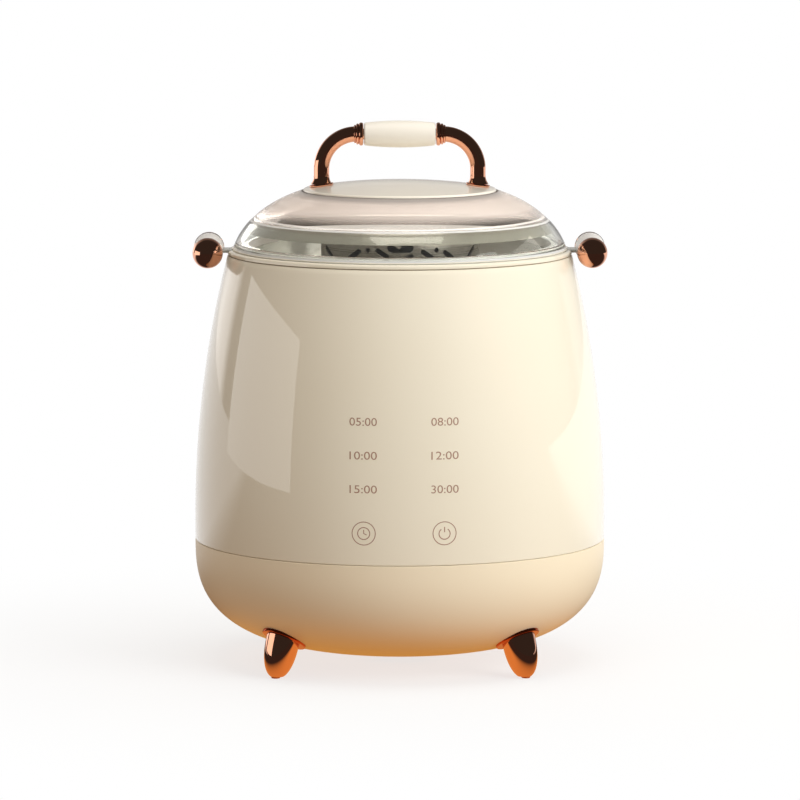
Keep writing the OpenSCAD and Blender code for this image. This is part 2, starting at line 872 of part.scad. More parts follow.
// A smooth curve through hand-placed points.
function catmull(p0, p1, p2, p3, t) =
    0.5 * ((2 * p1) + (p2 - p0) * t + (2 * p0 - 5 * p1 + 4 * p2 - p3) * t * t
        + (3 * p1 - p0 - 3 * p2 + p3) * t * t * t);
function smooth_path(p, n = 5) =
    let(last = len(p) - 1)
    concat([for (i = [0:last - 1]) for (k = [0:n - 1])
        catmull(p[max(i - 1, 0)], p[i], p[i + 1], p[min(i + 2, last)], k / n)], [p[last]]);

module internal_wires() {
    pin_x = element_ring_r * sin(element_pin_a);
    pin_y = element_ring_r * cos(element_pin_a);
    pin_z = element_z - element_pin_l;
    board_y = board_w / 2;
    // From the board to the element's two pins.
    color([0.85, 0.2, 0.15])
    for (s = [-1, 1])
        swept_tube(smooth_path([[s * board_l / 3, board_y - 3, board_top_z + wire_r],
            [s * board_l / 3, board_y + 2, board_top_z + 8], [s * 12, pin_y - 3, pin_z - 9],
            [s * pin_x, pin_y, pin_z - 2.2]]), wire_r);
    // From the inlet to the board.
    color([0.15, 0.35, 0.75])
    for (s = [-1, 1])
        swept_tube(smooth_path([[s * 5, inlet_back_y - 0.2, inlet_z], [s * 6, inlet_back_y - 8, inlet_z - 2],
            [s * 9, board_y + 14, board_top_z + 6], [s * 9, board_y - 2, board_top_z + wire_r]]), wire_r);
    // From the touch board to the power board.
    color([0.9, 0.9, 0.9])
    for (k = [-1:1])
        swept_tube(smooth_path([[k * wire_pitch, touch_wire_y, touch_z + 4],
            [k * wire_pitch, touch_wire_y + 3, touch_z - 8], [k * wire_pitch, -board_y - 30, board_z + 20],
            [k * wire_pitch, -board_y - 8, board_top_z + 5], [k * wire_pitch, -board_y + 2, board_top_z + wire_r]]),
            wire_r);
}

// ---- Feet -------------------------------------------------------------------------------

foot_root_z = belly_z_at(foot_root_r);
foot_slope = atan((belly_z_at(foot_root_r + 0.5) - belly_z_at(foot_root_r - 0.5)));
foot_reach = foot_root_z / cos(foot_lean);
foot_steps = 14;

// The frame of a foot's root: +Z points out of the shell.
module foot_root_frame() {
    translate([foot_root_r, 0, foot_root_z])
    rotate([0, 180 - foot_slope, 0])
    children();
}

module at_feet() {
    for (a = [45:90:315])
        rotate([0, 0, a])
        children();
}

function bullet_r(s) = foot_r * sqrt(1 - pow(1 - min(s / foot_reach, 1), 2));
bullet_points = [for (i = [0:foot_steps]) let(s = foot_reach * (1 - cos(90 * i / foot_steps)))
    [bullet_r(s), s]];

module feet() {
    color(colors_copper)
    at_feet()
    difference() {
        intersection() {
            translate([foot_root_r + foot_reach * sin(foot_lean), 0, 0])
            rotate([0, -foot_lean, 0])
            rotate_extrude()
            polygon(concat([[0, 0]], bullet_points, [[foot_r, 2 * foot_reach], [0, 2 * foot_reach]]));
            foot_root_frame()
            translate([0, 0, collar_t - collar_sink])
            cylinder(r = 3 * foot_r, h = 3 * foot_reach);
        }
        translate([0, 0, -foot_reach])
        cylinder(r = body_r, h = foot_reach + pad_h);
        foot_root_frame()
        cylinder(r = screw_r + fit, h = foot_reach / 2, $fn = 32);
        translate([foot_tip_r, 0, 0])
        cylinder(r = pad_stem_r + fit, h = pad_h + pad_stem_l, $fn = 32);
    }
}

foot_tip_r = foot_root_r + foot_reach * sin(foot_lean);

module foot_collars() {
    color([0.70, 0.35, 0.25])
    at_feet()
    foot_root_frame()
    translate([0, 0, -collar_sink])
    difference() {
        cylinder(r = collar_r, h = collar_t);
        translate([0, 0, -1])
        cylinder(r = screw_r + fit, h = collar_t + 2, $fn = 32);
    }
}

module foot_pads() {
    color([0.20, 0.12, 0.10])
    at_feet()
    translate([foot_tip_r, 0, 0]) {
        cylinder(r = pad_r, h = pad_h, $fn = 48);
        cylinder(r = pad_stem_r, h = pad_h + pad_stem_l - fit, $fn = 32);
    }
}

foot_screw_reach = 7;

module foot_screws() {
    inside = lower_wall + 0.8;
    color([0.7, 0.7, 0.72])
    at_feet()
    foot_root_frame() {
        translate([0, 0, -inside - screw_head_h])
        cylinder(r = screw_head_r, h = screw_head_h, $fn = 32);
        translate([0, 0, -inside])
        cylinder(r = screw_r, h = inside + foot_screw_reach, $fn = 32);
    }
}

// ---- Pot and side handles ---------------------------------------------------------------

// Outline of the pot's sheet: up the outside, over the flange and down the inside.
module pot_section() {
    r_low = pot_r - ledge_w;
    in_low = r_low - pot_wall;
    in_high = pot_r - pot_wall;
    corner_in = pot_corner - pot_wall;
    polygon(concat(
        [[0, pot_floor_z]],
        round_points([r_low - pot_corner, pot_floor_z + pot_corner], pot_corner, 270, 360, 8),
        [[r_low, ledge_z - pot_wall], [pot_r, ledge_z - pot_wall + ledge_w], [pot_r, flange_z]],
        [[pot_r + flange_w, flange_z], [pot_r + flange_w, flange_top_z], [in_high, flange_top_z]],
        [[in_high, ledge_z], [in_low, ledge_z]],
        round_points([in_low - corner_in, pot_floor_z + pot_wall + corner_in], corner_in, 360, 270, 8),
        [[0, pot_floor_z + pot_wall]]));
}

module inner_pot() {
    color(colors_steel)
    rotate_extrude($fn = 180)
    pot_section();
}

arm_mid_z = arm_z + arm_t / 2;

module pot_arms() {
    color([0.82, 0.82, 0.84])
    difference() {
        for (s = [-1, 1]) {
            translate([s > 0 ? 0 : -side_grip_x, -arm_w / 2, arm_z])
            cube([side_grip_x, arm_w, arm_t]);
            translate([s * side_grip_x, 0, arm_mid_z])
            rotate([90, 0, 0])
            cylinder(r = arm_rod_r, h = side_grip_l + 2 * rod_in_cap, center = true);
        }
        translate([0, 0, arm_z - 1])
        cylinder(r = pot_r, h = arm_t + 2, $fn = 180);
    }
}

module side_grips() {
    color([0.95, 0.93, 0.89])
    for (s = [-1, 1])
        translate([s * side_grip_x, 0, arm_mid_z])
        difference() {
            rotate([90, 0, 0])
            cylinder(r = side_grip_r, h = side_grip_l, center = true);
            rotate([90, 0, 0])
            cylinder(r = arm_rod_r + fit, h = side_grip_l + 2, center = true);
            translate([s > 0 ? -2 * side_grip_r : 0, -arm_w / 2 - fit, -arm_t / 2 - fit])
            cube([2 * side_grip_r, arm_w + 2 * fit, arm_t + 2 * fit]);
        }
}

module grip_caps() {
    color(colors_copper)
    for (s = [-1, 1], t = [0, 180])
        translate([s * side_grip_x, 0, arm_mid_z])
        rotate([0, 0, t])
        translate([0, side_grip_l / 2, 0])
        rotate([-90, 0, 0])
        difference() {
            union() {
                cylinder(r = cap_r, h = cap_band);
                translate([0, 0, cap_band])
                intersection() {
                    sphere(r = cap_r);
                    cylinder(r = 2 * cap_r, h = 2 * cap_r);
                }
            }
            translate([0, 0, -1])
            cylinder(r = arm_rod_r + fit, h = rod_in_cap + 1 + fit);
        }
}

// ---- Steam rack -------------------------------------------------------------------------

rack_z = ledge_z + gap;
rack_edge_r = pot_r - pot_wall - gap;
hat_top_z = rack_z + hat_h;
hat_wall_r = hat_r + rack_t;

// Outer line of the raised centre, from its flare up to the axis. inset is the sheet.
function hat_line(inset) = concat(
    round_points([hat_wall_r + hat_flare, rack_z + rack_t + hat_flare - inset],
        hat_flare + inset, 270, 180, 6),
    round_points([hat_wall_r - hat_round, hat_top_z - hat_round], hat_round - inset, 0, 90, 6),
    [[0, hat_top_z - inset]]);

module rack_section() {
    outer = hat_line(0);
    inner = [for (i = [len(outer) - 1:-1:0]) hat_line(rack_t)[i]];
    polygon(concat(
        [[rack_edge_r, rack_z + rack_lip_h], [rack_edge_r - rack_t, rack_z + rack_lip_h],
         [rack_edge_r - rack_t, rack_z + rack_t]],
        outer, inner, [[rack_edge_r, rack_z]]));
}

module vent_slot(l, w) {
    if (l > w)
        square([l - w, w], center = true);
    for (s = [-1, 1])
        translate([s * (l - w) / 2, 0])
        circle(r = w / 2, $fn = 32);
}

// Cuts through the hat's wall: angle from the front, height on the wall and tilt.
module wall_cut(angle, height, tilt, l, w) {
    rotate([0, 0, angle])
    translate([0, -hat_r + hat_round, rack_z + height])
    rotate([90, 0, 0])
    rotate([0, 0, tilt])
    linear_extrude(height = 2 * hat_flare + 2 * hat_round)
    vent_slot(l, w);
}

low_vent = 14;
high_vent = 16.6;
vent_tilt = 32;

module steam_rack() {
    color(colors_steel)
    difference() {
        rotate_extrude($fn = 120)
        rack_section();
        for (a = [0, 180])
            rotate([0, 0, a]) {
                wall_cut(0, hat_h - 4, 0, finger_l, finger_w);
                wall_cut(-36, low_vent, vent_tilt, slot_l, slot_w);
                wall_cut(-13, high_vent - 1.4, -vent_tilt, slot_l - 2, slot_w);
                wall_cut(4, low_vent - 1.4, vent_tilt, slot_l - 1.5, slot_w);
                wall_cut(20, low_vent + 0.6, -vent_tilt, slot_l - 2, slot_w);
                wall_cut(39, low_vent - 0.6, -vent_tilt, slot_l, slot_w);
                wall_cut(-24, high_vent, 0, slot_w, slot_w);
                wall_cut(27, high_vent, 0, slot_w, slot_w);
                wall_cut(-63, low_vent, -vent_tilt, slot_l, slot_w);
                wall_cut(63, low_vent, vent_tilt, slot_l, slot_w);
            }
    }
}

// ---- Lid --------------------------------------------------------------------------------

crown_steps = 16;
skirt_steps = 8;
seat_r = plate_r + seat_gap;
rib_step = 0.5;

function crown_line(r, inset) =
    let(t1 = crown_t(r, inset), t0 = crown_t(shoulder_r - inset, inset))
    [for (i = [0:crown_steps]) crown_point(t0 + (t1 - t0) * i / crown_steps, inset)];

skirt_slope = atan2(shoulder_h, lid_r - shoulder_r);
skirt_shift = lid_wall / sin(skirt_slope);

function skirt_line(shift) =
    arc_points([lid_r - shift, lid_z], [shoulder_r + shoulder_rib - shift, shoulder_z - rib_step],
        skirt_arc, skirt_steps);

module lid_section() {
    inner_crown = crown_line(seat_r + lid_wall, lid_wall);
    inner_skirt = skirt_line(skirt_shift);
    seat_floor = plate_z - lid_wall;
    lip_r = pot_r - pot_wall - gap;
    translate([lip_r - lip_t, lid_z - lip_h])
    square([lip_t, lip_h + lip_t]);
    translate([lip_r - lip_t, lid_z])
    square([lid_r - skirt_shift - lip_r + lip_t, lip_t]);
    polygon(concat(
        skirt_line(0), crown_line(seat_r, 0),
        [[seat_r, plate_z], [0, plate_z], [0, seat_floor]],
        [for (i = [crown_steps:-1:0]) [inner_crown[i][0], min(inner_crown[i][1], seat_floor)]],
        [for (i = [skirt_steps:-1:0]) inner_skirt[i]]));
}

module at_legs() {
    for (s = [-1, 1])
        translate([s * handle_span / 2, 0, 0])
        children();
}

module lid_dome() {
    color([0.93, 0.86, 0.82, 0.45])
    difference() {
        rotate_extrude($fn = 180)
        lid_section();
        at_legs()
        cylinder(r = bolt_r + fit, h = bar_z);
    }
}

module lid_trim_ring() {
    top_z = shoulder_z - rib_step - 1;
    color(colors_steel)
    rotate_extrude($fn = 180)
    intersection() {
        polygon(concat(skirt_line(skirt_shift + seat_gap),
            [for (i = [skirt_steps:-1:0]) skirt_line(skirt_shift + seat_gap + trim_t)[i]]));
        translate([0, top_z - trim_h])
        square([body_r, trim_h]);
    }
}

plate_edge_z = plate_z + plate_edge_h;
plate_sphere_z = plate_edge_z - sqrt(plate_crown_r * plate_crown_r - plate_r * plate_r);
plate_steps = 10;

module lid_top_plate() {
    crown = [for (i = [0:plate_steps])
        let(r = (plate_r - plate_round) * (1 - i / plate_steps))
        [r, plate_sphere_z + sqrt(plate_crown_r * plate_crown_r - r * r)]];
    drop = crown[0][1] - plate_round;
    color(colors_cream)
    difference() {
        rotate_extrude($fn = 180)
        polygon(concat([[0, plate_z], [plate_r, plate_z]],
            round_points([plate_r - plate_round, drop], plate_round, 0, 80), crown));
        at_legs()
        cylinder(r = bolt_r + fit, h = bar_z);
    }
}

// ---- Arched handle ----------------------------------------------------------------------

leg_z = plate_sphere_z + sqrt(plate_crown_r * plate_crown_r - pow(handle_span / 2, 2));
leg_tilt = asin(handle_span / 2 / plate_crown_r);
leg_start_z = leg_z + leg_flange_h;
bar_z = leg_start_z + bar_rise;
bar_r = bar_d / 2;
collar_steps = [0.55, 0.65, 1];
bar_end_x = grip_l / 2 + gap;

module handle_bar() {
    color(colors_copper)
    difference() {
        union() {
            for (s = [0, 180])
                rotate([0, 0, s]) {
                    translate([handle_span / 2, 0, leg_start_z])
                    cylinder(r = bar_r, h = bar_z - bar_bend - leg_start_z);
                    translate([handle_span / 2 - bar_bend, 0, bar_z - bar_bend])
                    rotate([90, 0, 0])
                    rotate_extrude(angle = 90)
                    translate([bar_bend, 0])
                    circle(r = bar_r, $fn = 48);
                    translate([bar_end_x, 0, bar_z])
                    rotate([0, 90, 0])
                    cylinder(r = bar_r, h = handle_span / 2 - bar_bend - bar_end_x);
                }
            translate([0, 0, bar_z])
            rotate([0, 90, 0])
            cylinder(d = grip_rod_d, h = 2 * (bar_end_x + grip_run / 2), center = true);
        }
        at_legs()
        translate([0, 0, leg_start_z - 1])
        cylinder(r = bolt_r + fit, h = bolt_reach + 1);
    }
}

grip_arc_r = (pow(grip_l / 2, 2) + pow((grip_mid_d - grip_end_d) / 2, 2)) / (grip_mid_d - grip_end_d);
grip_steps = 14;

module handle_grip() {
    half = grip_l / 2;
    axis_d = grip_arc_r - grip_mid_d / 2;
    barrel = [for (i = [0:grip_steps])
        let(x = -half + grip_l * i / grip_steps)
        [sqrt(grip_arc_r * grip_arc_r - x * x) - axis_d, x]];
    bore_r = grip_rod_d / 2 + fit;
    color([0.96, 0.94, 0.89])
    translate([0, 0, bar_z])
    rotate([0, 90, 0])
    rotate_extrude()
    polygon(concat([[bore_r, -half]], barrel, [[bore_r, half]]));
}

// Beads of one collar: [start along X, width, radius], from the grip outwards.
beads = [[0, bead_w, bead_r], [bead_w, 1.3, bead_r - 0.5], [bead_w + 1.3, 1, bead_r - 1.1]];

module handle_collars() {
    color(colors_copper)
    for (s = [0, 180])
        rotate([0, 0, s])
        translate([bar_end_x, 0, bar_z])
        rotate([0, 90, 0])
        difference() {
            union() {
                for (b = beads)
                    translate([0, 0, b[0]])
                    bead(b[1], b[2]);
            }
            translate([0, 0, -1])
            cylinder(r = bar_r + fit, h = 10);
        }
}

// One rounded bead, w wide and r in radius.
module bead(w, r) {
    edge = w * 0.35;
    rotate_extrude()
    polygon(concat([[0, 0]], round_points([r - edge, edge], edge, 270, 360, 4),
        round_points([r - edge, w - edge], edge, 0, 90, 4), [[0, w]]));
}

module handle_flanges() {
    flare_r = leg_flange_r - 1.2;
    color(colors_copper)
    for (s = [0, 180])
        rotate([0, 0, s])
        translate([handle_span / 2, 0, leg_z])
        difference() {
            union() {
                rotate([0, leg_tilt, 0])
                cylinder(r = leg_flange_r, h = leg_flange_h);
                translate([0, 0, leg_flange_h / 2])
                cylinder(r1 = flare_r, r2 = bar_r + 2 * fit, h = leg_flare_h);
            }
            translate([0, 0, leg_flange_h])
            cylinder(r = bar_r + fit, h = leg_flare_h);
            translate([0, 0, -2])
            cylinder(r = bolt_r + fit, h = 4 * leg_flange_h);
        }
}

washer_t = 0.8;
bolt_head_h = 2.4;
under_lid_z = plate_z - lid_wall;

module handle_washers() {
    color([0.90, 0.88, 0.85])
    at_legs()
    translate([0, 0, under_lid_z - washer_t])
    difference() {
        cylinder(r = bolt_head_r + 1, h = washer_t);
        translate([0, 0, -1])
        cylinder(r = bolt_r + fit, h = washer_t + 2);
    }
}

module handle_screws() {
    head_z = under_lid_z - washer_t - bolt_head_h;
    color([0.75, 0.75, 0.77])
    at_legs() {
        translate([0, 0, head_z])
        cylinder(r = bolt_head_r, h = bolt_head_h);
        translate([0, 0, head_z])
        cylinder(r = bolt_r, h = leg_start_z + bolt_reach - head_z - 2 * fit);
    }
}

// ---- Drawing ----------------------------------------------------------------------------

upper_shell();
lower_shell();
rim_ring();
inner_liner();
heating_plate();
heating_element();
overheat_cutout();
thermal_fuse();
sensor_holder();
temperature_sensor();
sensor_clip();
sensor_spring();
touch_board();
touch_springs();
indicator_leds();
touch_board_screws();
power_board();
relay();
capacitor();
transformer();
board_screws();
bottom_cover();
cover_screws();
mains_inlet();
inlet_pins();
inlet_screws();
internal_wires();
feet();
foot_collars();
foot_pads();
foot_screws();
inner_pot();
pot_arms();
side_grips();
grip_caps();
steam_rack();
lid_dome();
lid_trim_ring();
lid_top_plate();
handle_bar();
handle_grip();
handle_collars();
handle_flanges();
handle_screws();
handle_washers();
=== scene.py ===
import json
import math

import bmesh
import bpy
from mathutils import Matrix, Vector


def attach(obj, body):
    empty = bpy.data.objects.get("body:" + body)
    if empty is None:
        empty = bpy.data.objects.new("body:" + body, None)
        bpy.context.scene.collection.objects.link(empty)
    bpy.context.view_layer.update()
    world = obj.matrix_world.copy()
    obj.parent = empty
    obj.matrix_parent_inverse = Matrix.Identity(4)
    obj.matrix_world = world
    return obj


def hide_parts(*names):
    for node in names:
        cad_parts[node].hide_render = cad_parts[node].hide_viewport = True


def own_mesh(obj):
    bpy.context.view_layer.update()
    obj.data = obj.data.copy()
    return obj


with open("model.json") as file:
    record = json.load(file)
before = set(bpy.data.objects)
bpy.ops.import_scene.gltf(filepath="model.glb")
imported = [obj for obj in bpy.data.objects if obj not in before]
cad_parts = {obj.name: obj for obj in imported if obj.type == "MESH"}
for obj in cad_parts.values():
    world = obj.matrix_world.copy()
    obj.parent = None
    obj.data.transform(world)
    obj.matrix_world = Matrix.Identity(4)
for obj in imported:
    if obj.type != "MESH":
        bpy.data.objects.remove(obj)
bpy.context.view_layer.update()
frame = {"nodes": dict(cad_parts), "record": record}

NODES = frame["nodes"]
MM = 0.001


# ---- Shapes of this cooker, in millimetres ----------------------------------------------

WIDEST_R, WIDEST_Z, SIDE_ARC = 94.95, 67.0, 488.0
RIM_Z, SEAM_Z, RING_H, FLANGE_T = 189.0, 57.0, 2.2, 0.8
BELLY_Z, BELLY_FLAT, BELLY_POWER = 6.4, 11.9, 2.74
LID_R, SHOULDER_H, SHOULDER_R, SKIRT_ARC = 77.05, 12.9, 68.45, 34.0
CROWN_H, CROWN_R, CROWN_POWER = 41.9, 77.25, 2.32
PLATE_R, PLATE_SEAT, PLATE_CROWN, PLATE_EDGE = 44.55, 1.2, 280.0, 1.9
SEAT_R = PLATE_R + 0.15
POT_R, POT_WALL, LEDGE_DROP = 72.55, 0.9, 16.0
SPAN, BAR_R, BAR_Z, BEND = 72.1, 3.6, 244.3, 16.0
FOOT_ROOT, FOOT_LEAN, FOOT_R, NOSE = 75.45, 15.6, 7.7, 2.3
GRIP_X, GRIP_R, GRIP_L, CAP_R, CAP_BAND = 88.35, 6.8, 28.0, 7.0, 1.6
SHELL_WALL, BOWL_WALL, LID_WALL = 2.5, 3.0, 2.5
COVER_R, COVER_STEP, COVER_LIP_R = 46.15, 2.15, 38.3
POT_FLOOR, POT_BEND = 74.0, 12
HOLD, HOLD_R, HOLD_EDGE, HOLD_BORE = 16.5, 6.2, 0.6, 2.55
PANEL_X = 1.1
AXIS = 0.001
FINE = 320

RING_TOP = RIM_Z + RING_H
FLANGE_TOP = RING_TOP + FLANGE_T
LID_Z = FLANGE_TOP
SHOULDER_Z = LID_Z + SHOULDER_H


def side_r(z):
    return WIDEST_R - SIDE_ARC + math.sqrt(SIDE_ARC ** 2 - (z - WIDEST_Z) ** 2)


BELLY_A = side_r(SEAM_Z) - BELLY_FLAT
BELLY_B = SEAM_Z - BELLY_Z


def belly(angle, inset=0.0):
    c, s = math.cos(math.radians(angle)), math.sin(math.radians(angle))
    return (BELLY_FLAT + (BELLY_A - inset) * max(c, 0) ** (2 / BELLY_POWER),
            SEAM_Z - (BELLY_B - inset) * max(s, 0) ** (2 / BELLY_POWER))


def belly_height(r):
    c = ((r - BELLY_FLAT) / BELLY_A) ** (BELLY_POWER / 2)
    return SEAM_Z - BELLY_B * math.sqrt(1 - c * c) ** (2 / BELLY_POWER)


CROWN_END = math.degrees(math.acos((SHOULDER_R / CROWN_R) ** (CROWN_POWER / 2)))
CROWN_Z = SHOULDER_Z - CROWN_H * math.sin(math.radians(CROWN_END)) ** (2 / CROWN_POWER)


def crown_height(r, inset=0.0):
    c = min(r / (CROWN_R - inset), 1) ** (CROWN_POWER / 2)
    return CROWN_Z + (CROWN_H - inset) * math.sqrt(1 - c * c) ** (2 / CROWN_POWER)


def arc(p, q, r, count):
    """Points of an outward-bulging arc from p to q."""
    p, q = Vector(p), Vector(q)
    d = q - p
    side = Vector((-d.y, d.x)) / d.length
    c = (p + q) / 2 + side * math.sqrt(r * r - d.length_squared / 4)
    a, b = (math.atan2(e.y - c.y, e.x - c.x) for e in (p, q))
    return [(c.x + r * math.cos(a + (b - a) * i / count), c.y + r * math.sin(a + (b - a) * i / count))
            for i in range(count + 1)]


def turn(c, r, a, b, count=6):
    """Points of a rounding about c, from angle a to b in degrees."""
    return [(c[0] + r * math.cos(math.radians(a + (b - a) * i / count)),
             c[1] + r * math.sin(math.radians(a + (b - a) * i / count))) for i in range(count + 1)]


def steps(a, b, count):
    return [a + (b - a) * i / count for i in range(count + 1)]


# ---- Colours and shader words -----------------------------------------------------------

def tone(r, g, b):
    """An 8-bit screen colour as a linear one."""
    def line(c):
        c /= 255
        return c / 12.92 if c <= 0.04045 else ((c + 0.055) / 1.055) ** 2.4
    return (line(r), line(g), line(b), 1.0)


def shade(colour, share):
    return tuple(c * share for c in colour[:3]) + (1,)


class Wire:
    """A socket that takes + - * / with numbers and other sockets."""

    def __init__(self, graph, socket):
        self.graph, self.socket = graph, socket

    def _maths(self, kind, a, b):
        return self.graph.node("ShaderNodeMath", {"operation": kind}, {0: a, 1: b})

    def __add__(self, other):
        return self._maths("ADD", self, other)

    def __radd__(self, other):
        return self._maths("ADD", other, self)

    def __sub__(self, other):
        return self._maths("SUBTRACT", self, other)

    def __rsub__(self, other):
        return self._maths("SUBTRACT", other, self)

    def __mul__(self, other):
        return self._maths("MULTIPLY", self, other)

    def __rmul__(self, other):
        return self._maths("MULTIPLY", other, self)

    def __truediv__(self, other):
        return self._maths("DIVIDE", self, other)

    def __rtruediv__(self, other):
        return self._maths("DIVIDE", other, self)


class Graph:
    """A node tree; node() is the one way that anything is put in it."""

    def __init__(self, tree):
        self.tree = tree
        tree.nodes.clear()

    def node(self, kind, settings=None, sockets=None, output=0):
        made = self.tree.nodes.new(kind)
        for key, value in (settings or {}).items():
            setattr(made, key, value)
        for key, value in (sockets or {}).items():
            if isinstance(value, Wire):
                self.tree.links.new(value.socket, made.inputs[key])
            else:
                made.inputs[key].default_value = value
        return Wire(self, made.outputs[output]) if made.outputs else None


class Paint(Graph):
    """One material, or the world, and the words that its finish is written in."""

    def __init__(self, name, home=None):
        self.material = home or bpy.data.materials.new(name)
        self.material.use_nodes = True
        super().__init__(self.material.node_tree)

    def place(self, kind="Object"):
        return self.node("ShaderNodeTexCoord", output=kind)

    def along(self, axis, kind="Object"):
        return self.node("ShaderNodeSeparateXYZ", None, {0: self.place(kind)}, output=axis)

    def reach(self):
        """How far from the upright axis."""
        flat = self.node("ShaderNodeVectorMath", {"operation": "MULTIPLY"},
                         {0: self.place(), 1: (1.0, 1.0, 0.0)})
        return self.node("ShaderNodeVectorMath", {"operation": "LENGTH"}, {0: flat}, output="Value")

    def ramp(self, value, start, end, low=0.0, high=1.0, curve="LINEAR"):
        """From low to high while value goes from start to end."""
        return self.node("ShaderNodeMapRange", {"interpolation_type": curve},
                         {"Value": value, "From Min": start, "From Max": end,
                          "To Min": low, "To Max": high})

    def grain(self, scale, detail=3, rough=0.5, stretch=None):
        """Noise of so many grains a metre, from 0 to 1."""
        where = self.place()
        if stretch:
            where = self.node("ShaderNodeMapping", None, {0: where, "Scale": stretch})
        return self.node("ShaderNodeTexNoise", None,
                         {"Vector": where, "Scale": scale, "Detail": detail, "Roughness": rough})

    def between(self, factor, a, b):
        """From colour a to colour b."""
        return self.node("ShaderNodeMix", {"data_type": "RGBA"}, {0: factor, 6: a, 7: b}, output=2)

    def bump(self, height, strength, distance):
        return self.node("ShaderNodeBump", None,
                         {"Height": height, "Strength": strength, "Distance": distance})

    def shader(self, **sockets):
        return self.node("ShaderNodeBsdfPrincipled", None,
                         {key.replace("_", " "): value for key, value in sockets.items()})

    def glow(self, colour, power=1.0):
        return self.node("ShaderNodeEmission", None, {"Color": colour, "Strength": power})

    def mix(self, factor, a, b):
        """Shader a where factor is 0, shader b where it is 1."""
        return self.node("ShaderNodeMixShader", None, {0: factor, 1: a, 2: b})

    def by_ray(self, last, *kinds):
        """A shader for each kind of ray named, and the first for the rest."""
        for kind, shader in kinds:
            last = self.mix(self.node("ShaderNodeLightPath", output=kind), last, shader)
        return last

    def end(self, shader, kind="ShaderNodeOutputMaterial"):
        self.node(kind, None, {0: shader})
        return self.material

    def finish(self, **sockets):
        return self.end(self.shader(**sockets))


class Shaping(Graph):
    """A tree of geometry nodes, with the sizes of what it makes as named inputs."""

    def __init__(self, name, sizes):
        super().__init__(bpy.data.node_groups.new(name + "_shape", "GeometryNodeTree"))
        face = self.tree.interface
        face.new_socket("Piece", in_out="INPUT", socket_type="NodeSocketGeometry")
        self.sizes = {}
        for key, value in sizes.items():
            kind = "NodeSocketInt" if isinstance(value, int) else "NodeSocketFloat"
            self.sizes[face.new_socket(key, in_out="INPUT", socket_type=kind).identifier] = value
        face.new_socket("Shape", in_out="OUTPUT", socket_type="NodeSocketGeometry")

    def given(self, key):
        return self.node("NodeGroupInput", output=key)

    def make(self, name, mesh, result, material, angle=38):
        """Runs the tree on a mesh and keeps what comes out as a plain piece."""
        real = self.node("GeometryNodeRealizeInstances", None, {0: result})
        painted = self.node("GeometryNodeSetMaterial", None,
                            {"Geometry": real, "Material": material})
        self.node("NodeGroupOutput", None, {0: painted})
        piece = keep(name, mesh)
        step = piece.modifiers.new("shape", "NODES")
        step.node_group = self.tree
        for socket, value in self.sizes.items():
            step[socket] = value
        settle(bake(piece), material, angle)
        return piece


# ---- Finishes ---------------------------------------------------------------------------

def glossy_cream(name, colour, deep, rough):
    """Sprayed and lacquered cream: faint cloudiness and a very fine orange peel."""
    p = Paint(name)
    cloud = p.grain(14, 2)
    peel = p.grain(900, 2, 0.4)
    return p.finish(Base_Color=p.between(cloud, colour, deep), Roughness=rough + cloud * 0.05,
                    Normal=p.bump(peel, 0.05, 0.00005), Coat_Weight=1.0, Coat_Roughness=0.02,
                    Coat_IOR=1.62, Specular_IOR_Level=0.15)


def satin_cream(name, colour, deep, rough=0.34):
    """Moulded satin plastic with a fine eroded grain."""
    p = Paint(name)
    cloud = p.grain(18, 3)
    erosion = p.grain(2600, 3, 0.6)
    return p.finish(Base_Color=p.between(cloud, colour, deep), Roughness=rough + erosion * 0.12,
                    Normal=p.bump(erosion, 0.12, 0.00005), IOR=1.48)


def mirror_metal(name, colour, deep, rough=0.05, wear=0.05):
    """Plated and polished metal with soft handling marks."""
    p = Paint(name)
    smear = p.grain(60, 4, 0.6)
    fine = p.grain(1500, 2)
    return p.finish(Base_Color=p.between(smear, colour, deep), Metallic=1.0,
                    Roughness=rough + smear * wear, Normal=p.bump(fine, 0.02, 0.00004))


def drawn_steel(name, colour, rough=0.14, lines=0.06):
    """Satin spun sheet steel: fine rings about the upright axis."""
    p = Paint(name)
    rings = p.grain(1, 3, 0.6, (30, 30, 2600))
    cloud = p.grain(45, 3)
    return p.finish(Base_Color=p.between(cloud, colour, shade(colour, 0.9)),
                    Metallic=0.5, Roughness=rough + rings * 0.08,
                    Normal=p.bump(rings, lines, 0.00005))


def plain_mould(name, colour, rough=0.5, metal=0.0):
    """A plain moulded, cast or plated piece with a little texture."""
    p = Paint(name)
    cloud = p.grain(80, 3)
    fine = p.grain(900, 3, 0.6)
    return p.finish(Base_Color=p.between(cloud, colour, shade(colour, 0.82)), Metallic=metal,
                    Roughness=rough + fine * 0.12, Normal=p.bump(fine, 0.15, 0.00008))


